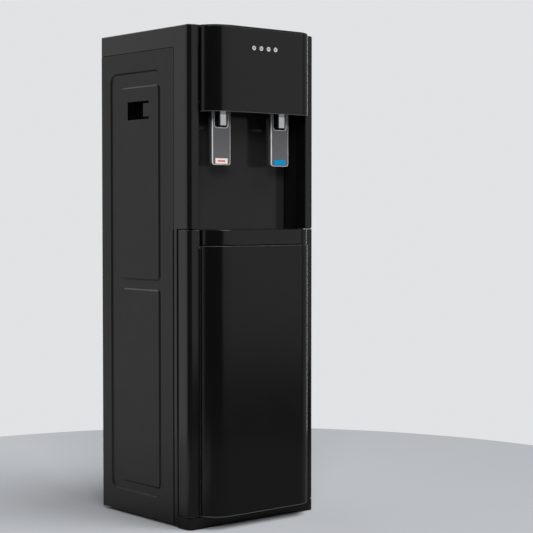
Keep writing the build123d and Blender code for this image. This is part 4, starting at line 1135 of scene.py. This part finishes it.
@dataclass
class Back:
    """Rear panel, condenser, inlets, switches and drain caps, with their small fittings.

    Attributes:
        panel_edge: Edge width of the rear panel.
        inlet_edge: Edge width of the inlets and the switch housings.
        switch_edge: Edge width of the rocker switches.
        cap_edge: Edge width of the drain caps.
        screw_count: Screws in the rear panel.
        head_radius: Radius of a screw head.
        head_rise: How far a head stands off the panel.
        head_rim: Height of the head's rim, as a share of its rise.
        head_crown: Radius and height of the bend in the crown, as shares of the head's.
        head_steps: Facets round a head.
        slot_reach: Half the length of the cross recess.
        slot_half: Half the width of the cross recess.
        slot_depth: Depth of the cross recess.
        wire_count: Wires across the condenser.
        wire_sides: Sides of a wire in the solids.
        wire_steps: Facets round a smooth wire.
        pin: Half width, half height and length of a socket pin.
        pin_round: Rounding of a pin, as a share of its half width.
        pin_pitch: Distance between the outer pins.
        pin_rise: How far the middle pin sits above the outer ones.
        pin_back: How far behind the socket's rim the pins start.
    """

    panel_edge: float = 0.2 * MM
    inlet_edge: float = 0.3 * MM
    switch_edge: float = 0.4 * MM
    cap_edge: float = 0.5 * MM
    screw_count: int = 3
    head_radius: float = 0.0040
    head_rise: float = 0.0018
    head_rim: float = 0.4
    head_crown: Pair = (0.72, 0.9)
    head_steps: int = 28
    slot_reach: float = 0.0023
    slot_half: float = 0.00045
    slot_depth: float = 0.0009
    wire_count: int = 21
    wire_sides: int = 6
    wire_steps: int = 10
    pin: Point = (0.0010, 0.0020, 0.0150)
    pin_round: float = 0.4
    pin_pitch: float = 0.0140
    pin_rise: float = 0.0040
    pin_back: float = 0.0050

    def build(self) -> None:
        """Builds the back and its fittings."""
        soften(ZINC, self.panel_edge, "rear_panel")
        soften(MACHINE, UNROUNDED, "condenser_tube")
        soften(FITTING, self.inlet_edge, "inlet_fitting")
        soften(FRAME_BLACK, self.inlet_edge, "power_inlet", "switch_housings")
        soften(SWITCH_RED, self.switch_edge, "hot_switch")
        soften(SWITCH_GREEN, self.switch_edge, "cold_switch")
        soften(FITTING, self.cap_edge, "drain_caps")
        self.screws()
        self.wires()
        self.pins()

    def screw(self) -> bpy.types.Mesh:
        """Models one pan head with a cross recess, seated at Y = 0 and facing +Y.

        Returns:
            The unit mesh.
        """
        rise, radius = self.head_rise, self.head_radius
        crown = (radius * self.head_crown[0], rise * self.head_crown[1])
        profile = [(0.0, 0.0), (radius, 0.0), (radius, rise * self.head_rim), crown, (0.0, rise)]
        obj = new_object("screw_head", as_mesh("screw_head", lathe(profile, self.head_steps)))
        a, b, floor = self.slot_half, self.slot_reach, rise - self.slot_depth
        half = [(a, a), (a, b), (-a, b), (-a, a), (-b, a), (-b, -a)]
        cross = [(x, floor, z) for x, z in half] + [(-x, floor, -z) for x, z in half]
        recess = extruded(cross, (0.0, 2 * rise - floor, 0.0))
        cutter = new_object("screw_cut", as_mesh("screw_cut", recess))
        cut = obj.modifiers.new("recess", "BOOLEAN")
        cut.operation = "DIFFERENCE"
        cut.object = cutter
        mesh = remade(obj).data.copy()
        for used in (obj, cutter):
            bpy.data.objects.remove(used)
        mesh.set_sharp_from_angle(angle=math.radians(SMOOTH_ANGLE))
        return mesh

    def screws(self) -> None:
        """Sets the screws that hold the rear panel to the shelf."""
        low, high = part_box("rear_screws")
        first, last = low[0] + self.head_radius, high[0] - self.head_radius
        start = (first, high[1] - self.head_rise, (low[2] + high[2]) / 2)
        step = ((last - first) / (self.screw_count - 1), 0.0, 0.0)
        row = Repeat(Pattern.ROW, self.screw_count, start, step)
        piece = row.build("rear_screws_row", self.screw(), PIN_STEEL)
        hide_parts("rear_screws")
        settle(piece, Body.CABINET.value)

    def wires(self) -> None:
        """Draws the condenser's wires as smooth round rods."""
        low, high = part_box("condenser_wires")
        radius = (high[1] - low[1]) / 2 / math.cos(math.pi / self.wire_sides)
        rod = bmesh.new()
        bmesh.ops.create_cone(
            rod,
            cap_ends=True,
            segments=self.wire_steps,
            radius1=radius,
            radius2=radius,
            depth=high[2] - low[2],
        )
        first, last = low[0] + radius, high[0] - radius
        start = (first, (low[1] + high[1]) / 2, (low[2] + high[2]) / 2)
        step = ((last - first) / (self.wire_count - 1), 0.0, 0.0)
        row = Repeat(Pattern.ROW, self.wire_count, start, step)
        piece = row.build("condenser_wires_row", as_mesh("wire", rod, ROUND_ANGLE), MACHINE)
        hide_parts("condenser_wires")
        settle(piece, Body.CABINET.value)

    def pins(self) -> None:
        """Sets three flat pins in the mains inlet."""
        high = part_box("power_inlet")[1]
        x, _, z = middle_of("power_inlet")
        a, b, length = self.pin
        outline = [(-a, 0.0, -b), (a, 0.0, -b), (a, 0.0, b), (-a, 0.0, b)]
        y = high[1] - self.pin_back - length
        for name, count, first, drop in (
            ("outer", 2, x - self.pin_pitch / 2, -self.pin_rise / 2),
            ("middle", 1, x, self.pin_rise / 2),
        ):
            row = Repeat(Pattern.ROW, count, (first, y, z + drop), (self.pin_pitch, 0.0, 0.0))
            unit = rounded(extruded(outline, (0.0, length, 0.0)), a * self.pin_round)
            piece = row.build("socket_pins_" + name, as_mesh("pin", unit), PIN_STEEL)
            settle(piece, Body.CABINET.value)


def add_gap_shade(label: str, shape: bmesh.types.BMesh) -> None:
    """Adds a black strip to the cabinet, set in a gap as painted shade.

    Args:
        label: Name of the piece.
        shape: Its shape, which is used up.
    """
    settle(new_object(label, as_mesh(label, shape)), Body.CABINET.value, GAP_SHADE_BLACK)


@dataclass
class DoorGapShade:
    """Thin dark strips in the gaps over and under the door, set there as painted shade so the gaps read dark.

    Attributes:
        inset: How far a strip sits behind the stile's surface.
        thick: Thickness of a strip.
        drop: How far it reaches into the gap.
        corner: Radius of the cabinet's front corner.
        steps: Facets round the corner.
    """

    inset: float = 0.0020
    thick: float = 0.0008
    drop: float = 0.0015
    corner: float = 0.0120
    steps: int = 10

    def path(self, inset: float) -> list[Pair]:
        """Follows the right stile's front and side from above.

        Args:
            inset: Distance inside the stile's surface.

        Returns:
            Points as (X, Y), from the inner end of the front to the rear.
        """
        low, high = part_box("right_stile")
        centre_x, centre_y = high[0] - self.corner, low[1] + self.corner
        radius = self.corner - inset
        turns = [
            math.radians(QUARTER_TURN * i / self.steps - QUARTER_TURN) for i in range(self.steps + 1)
        ]
        bend = [(centre_x + radius * math.cos(a), centre_y + radius * math.sin(a)) for a in turns]
        return [(low[0] + inset, low[1] + inset), *bend, (high[0] - inset, DOOR_HIGH[1])]

    def build(self) -> None:
        """Hangs a dark strip of painted shade under each stile and stands one on each end of the plinth."""
        sill, ledge = DOOR_HIGH[2] + DOOR_GAP, DOOR_LOW[2] - DOOR_GAP
        outline = self.path(self.inset) + self.path(self.inset + self.thick)[::-1]
        seats = {
            "stile": (sill - self.drop, sill + self.thick / 2),
            "plinth": (ledge - self.thick / 2, ledge + self.drop),
        }
        for name, side in SIDES.items():
            for seat, (low, high) in seats.items():
                foot = [(side * x, y, low) for x, y in outline]
                add_gap_shade(name + "_" + seat + "_gap_shade", extruded(foot, (0.0, 0.0, high - low)))


@dataclass
class PanelGapShade:
    """Dark strips behind the seams of each side panel, beside the door and under the cover, set there as
    painted shade in the seams.

    Attributes:
        inset: How far the strips sit behind the panel's face.
        depth: Depth of the strip beside the door.
        lip: Depth of the strip under the cover, and its reach below the seam.
    """

    inset: float = 0.0010
    depth: float = 0.0040
    lip: float = 0.0015

    def build(self) -> None:
        """Sets both strips on each side."""
        low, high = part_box("right_side_panel")
        front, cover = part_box("right_stile")[1][1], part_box("top_cover")[0][2]
        face, rear = high[0] - self.inset, high[1] - self.inset
        spans = {
            "panel_gap_shade": (
                (face - self.depth, front, low[2]),
                (face, low[1] + PANEL_RELIEF, DOOR_HIGH[2]),
            ),
            "cover_gap_shade": (
                (face - self.lip, front, high[2] - self.lip),
                (face, rear, cover + self.inset / 2),
            ),
        }
        for name, side in SIDES.items():
            for kind, (near, far) in spans.items():
                sizes = tuple(b - a for a, b in zip(near, far))
                x, y, z = ((a + b) / 2 for a, b in zip(near, far))
                add_gap_shade(name + "_" + kind, block(sizes, (side * x, y, z)))


@dataclass(frozen=True)
class Lamp:
    """One soft rectangular lamp.

    Attributes:
        name: Lamp name.
        place: Its centre.
        size: Width and height in metres.
        power: Power in watts.
        use: What it does for the picture.
    """

    name: str
    place: Point
    size: Pair
    power: float
    use: LampUse = LampUse.BOTH

    def build(self, target: Point) -> None:
        """Hangs the lamp.

        Args:
            target: Point that it faces.
        """
        data = bpy.data.lights.new(self.name, "AREA")
        data.shape = "RECTANGLE"
        data.size, data.size_y = self.size
        data.energy = self.power
        lamp = new_object(self.name, data)
        lamp.location = self.place
        lamp.visible_glossy = self.use is not LampUse.LIGHT
        lamp.visible_diffuse = self.use is not LampUse.MIRROR
        lamp.rotation_euler = (Vector(target) - Vector(self.place)).to_track_quat("-Z", "Y").to_euler()


LAMPS = (
    Lamp("key", (-2.0, -2.9, 2.3), (1.4, 1.4), 95.0, LampUse.LIGHT),
    Lamp("left_card", (-1.95, 1.35, 0.9), (3.0, 3.0), 17.5),
    Lamp("front_card", (1.25, -2.75, 1.38), (4.3, 2.95), 17.9),
    Lamp("rear_card", (-0.1, 2.2, 2.4), (1.8, 0.9), 16.0),
    Lamp("right_card", (2.65, 0.30, 0.9), (3.6, 2.6), 4.5),
    Lamp("edge_card", (1.80, 1.85, 0.9), (1.8, 2.4), 18.0, LampUse.MIRROR),
)


@dataclass
class Studio:
    """Floor, light and camera.

    Attributes:
        eye: Camera position in metres.
        aim: Direction that it looks in.
        focal_px: Focal length in pixels of the image.
        target: Point that the lamps face.
        wall_tone: Background grey, linear.
        room_tone: Grey of the room that lights and shows in the object.
        floor_tone: Floor grey, linear.
        floor_mirrored: Greys of the floor in reflections, before and after its fade.
        floor_fade: Where the fade starts and ends, in metres along its way.
        floor_way: Direction of the fade, towards the left rear.
        floor_rough: Roughness of the floor.
        floor_radius: Radius of the floor in metres.
        floor_steps: Facets round its rim.
        sky_way: Direction that the light from above travels in.
        sky_strength: Its irradiance in watts per square metre.
        sky_spread: Angle across its source in degrees.
    """

    eye: Point = (-1.903, -2.431, 0.6313)
    aim: Point = (0.64400, 0.76413, -0.03704)
    focal_px: float = 1464.3
    target: Point = (0.0, 0.0, 0.5)
    wall_tone: Colour = (0.76, 0.765, 0.775)
    room_tone: Colour = (0.04, 0.04, 0.04)
    floor_tone: Colour = (0.43, 0.445, 0.47)
    floor_mirrored: Pair = (0.135, 0.375)
    floor_fade: Pair = (0.10, 0.35)
    floor_way: Point = (-math.sqrt(0.5), math.sqrt(0.5), 0.0)
    floor_rough: float = 0.55
    floor_radius: float = 1.2
    floor_steps: int = 180
    sky_way: Point = (-0.25, 0.45, -1.0)
    sky_strength: float = 2.4
    sky_spread: float = 40.0

    def camera(self) -> None:
        """Places the camera at the photograph's viewpoint."""
        data = bpy.data.cameras.new("camera")
        data.sensor_width = SENSOR_WIDTH
        data.lens = data.sensor_width * self.focal_px / IMAGE_SIDE
        data.clip_end = SIGHT_RANGE
        cam = new_object("camera", data)
        cam.location = self.eye
        cam.rotation_euler = Vector(self.aim).to_track_quat("-Z", "Y").to_euler()
        bpy.context.scene.camera = cam

    def floor(self) -> None:
        """Lays a plain pale floor under the object, with a tone of its own in reflections."""
        mesh = bpy.data.meshes.new("floor")
        shape = bmesh.new()
        bmesh.ops.create_circle(shape, cap_ends=True, radius=self.floor_radius, segments=self.floor_steps)
        shape.to_mesh(mesh)
        shape.free()
        floor = new_object("floor", mesh)
        mat = bpy.data.materials.new("floor_pale")
        mat.use_nodes = True
        nodes, links = mat.node_tree.nodes, mat.node_tree.links
        shader = nodes["Principled BSDF"]
        shader.inputs["Roughness"].default_value = self.floor_rough
        shader.inputs["Specular IOR Level"].default_value = 0.0
        path = nodes.new("ShaderNodeLightPath")
        tone = nodes.new("ShaderNodeMix")
        tone.data_type = "RGBA"
        tone.inputs["A"].default_value = (*self.floor_tone, 1.0)
        coords = nodes.new("ShaderNodeTexCoord")
        turn = nodes.new("ShaderNodeVectorMath")
        turn.operation = "DOT_PRODUCT"
        turn.inputs[1].default_value = self.floor_way
        links.new(coords.outputs["Object"], turn.inputs[0])
        fade = nodes.new("ShaderNodeMapRange")
        fade.interpolation_type = "SMOOTHSTEP"
        fade.inputs["From Min"].default_value, fade.inputs["From Max"].default_value = self.floor_fade
        fade.inputs["To Min"].default_value, fade.inputs["To Max"].default_value = self.floor_mirrored
        links.new(turn.outputs["Value"], fade.inputs["Value"])
        links.new(fade.outputs["Result"], tone.inputs["B"])
        links.new(path.outputs["Is Glossy Ray"], tone.inputs["Factor"])
        links.new(tone.outputs["Result"], shader.inputs["Base Color"])
        mesh.materials.append(mat)

    def world(self) -> None:
        """Sets a dim even room, shown as a pale wall behind the object."""
        world = bpy.data.worlds.new("studio")
        world.use_nodes = True
        nodes, links = world.node_tree.nodes, world.node_tree.links
        path = nodes.new("ShaderNodeLightPath")
        tone = nodes.new("ShaderNodeMix")
        tone.data_type = "RGBA"
        tone.inputs["A"].default_value = (*self.room_tone, 1.0)
        tone.inputs["B"].default_value = (*self.wall_tone, 1.0)
        links.new(path.outputs["Is Camera Ray"], tone.inputs["Factor"])
        links.new(tone.outputs["Result"], nodes["Background"].inputs["Color"])
        bpy.context.scene.world = world

    def sky(self) -> None:
        """Adds the wide, even light from above."""
        data = bpy.data.lights.new("sky_panel", "SUN")
        data.energy = self.sky_strength
        data.angle = math.radians(self.sky_spread)
        lamp = new_object("sky_panel", data)
        lamp.rotation_euler = Vector(self.sky_way).to_track_quat("-Z", "Y").to_euler()

    def build(self) -> None:
        """Sets up the whole studio."""
        bpy.context.scene.view_settings.view_transform = "Standard"
        self.camera()
        self.floor()
        self.world()
        self.sky()
        for lamp in LAMPS:
            lamp.build(self.target)


def main() -> None:
    """Builds every sub-assembly in order, then the studio."""
    logging.basicConfig(level=logging.INFO, format="%(message)s")
    for assembly in (Cabinet(), Niche(), Door(), WaterSystem(), Back(), DoorGapShade(), PanelGapShade(), Studio()):
        assembly.build()


if __name__ == "__main__":
    main()
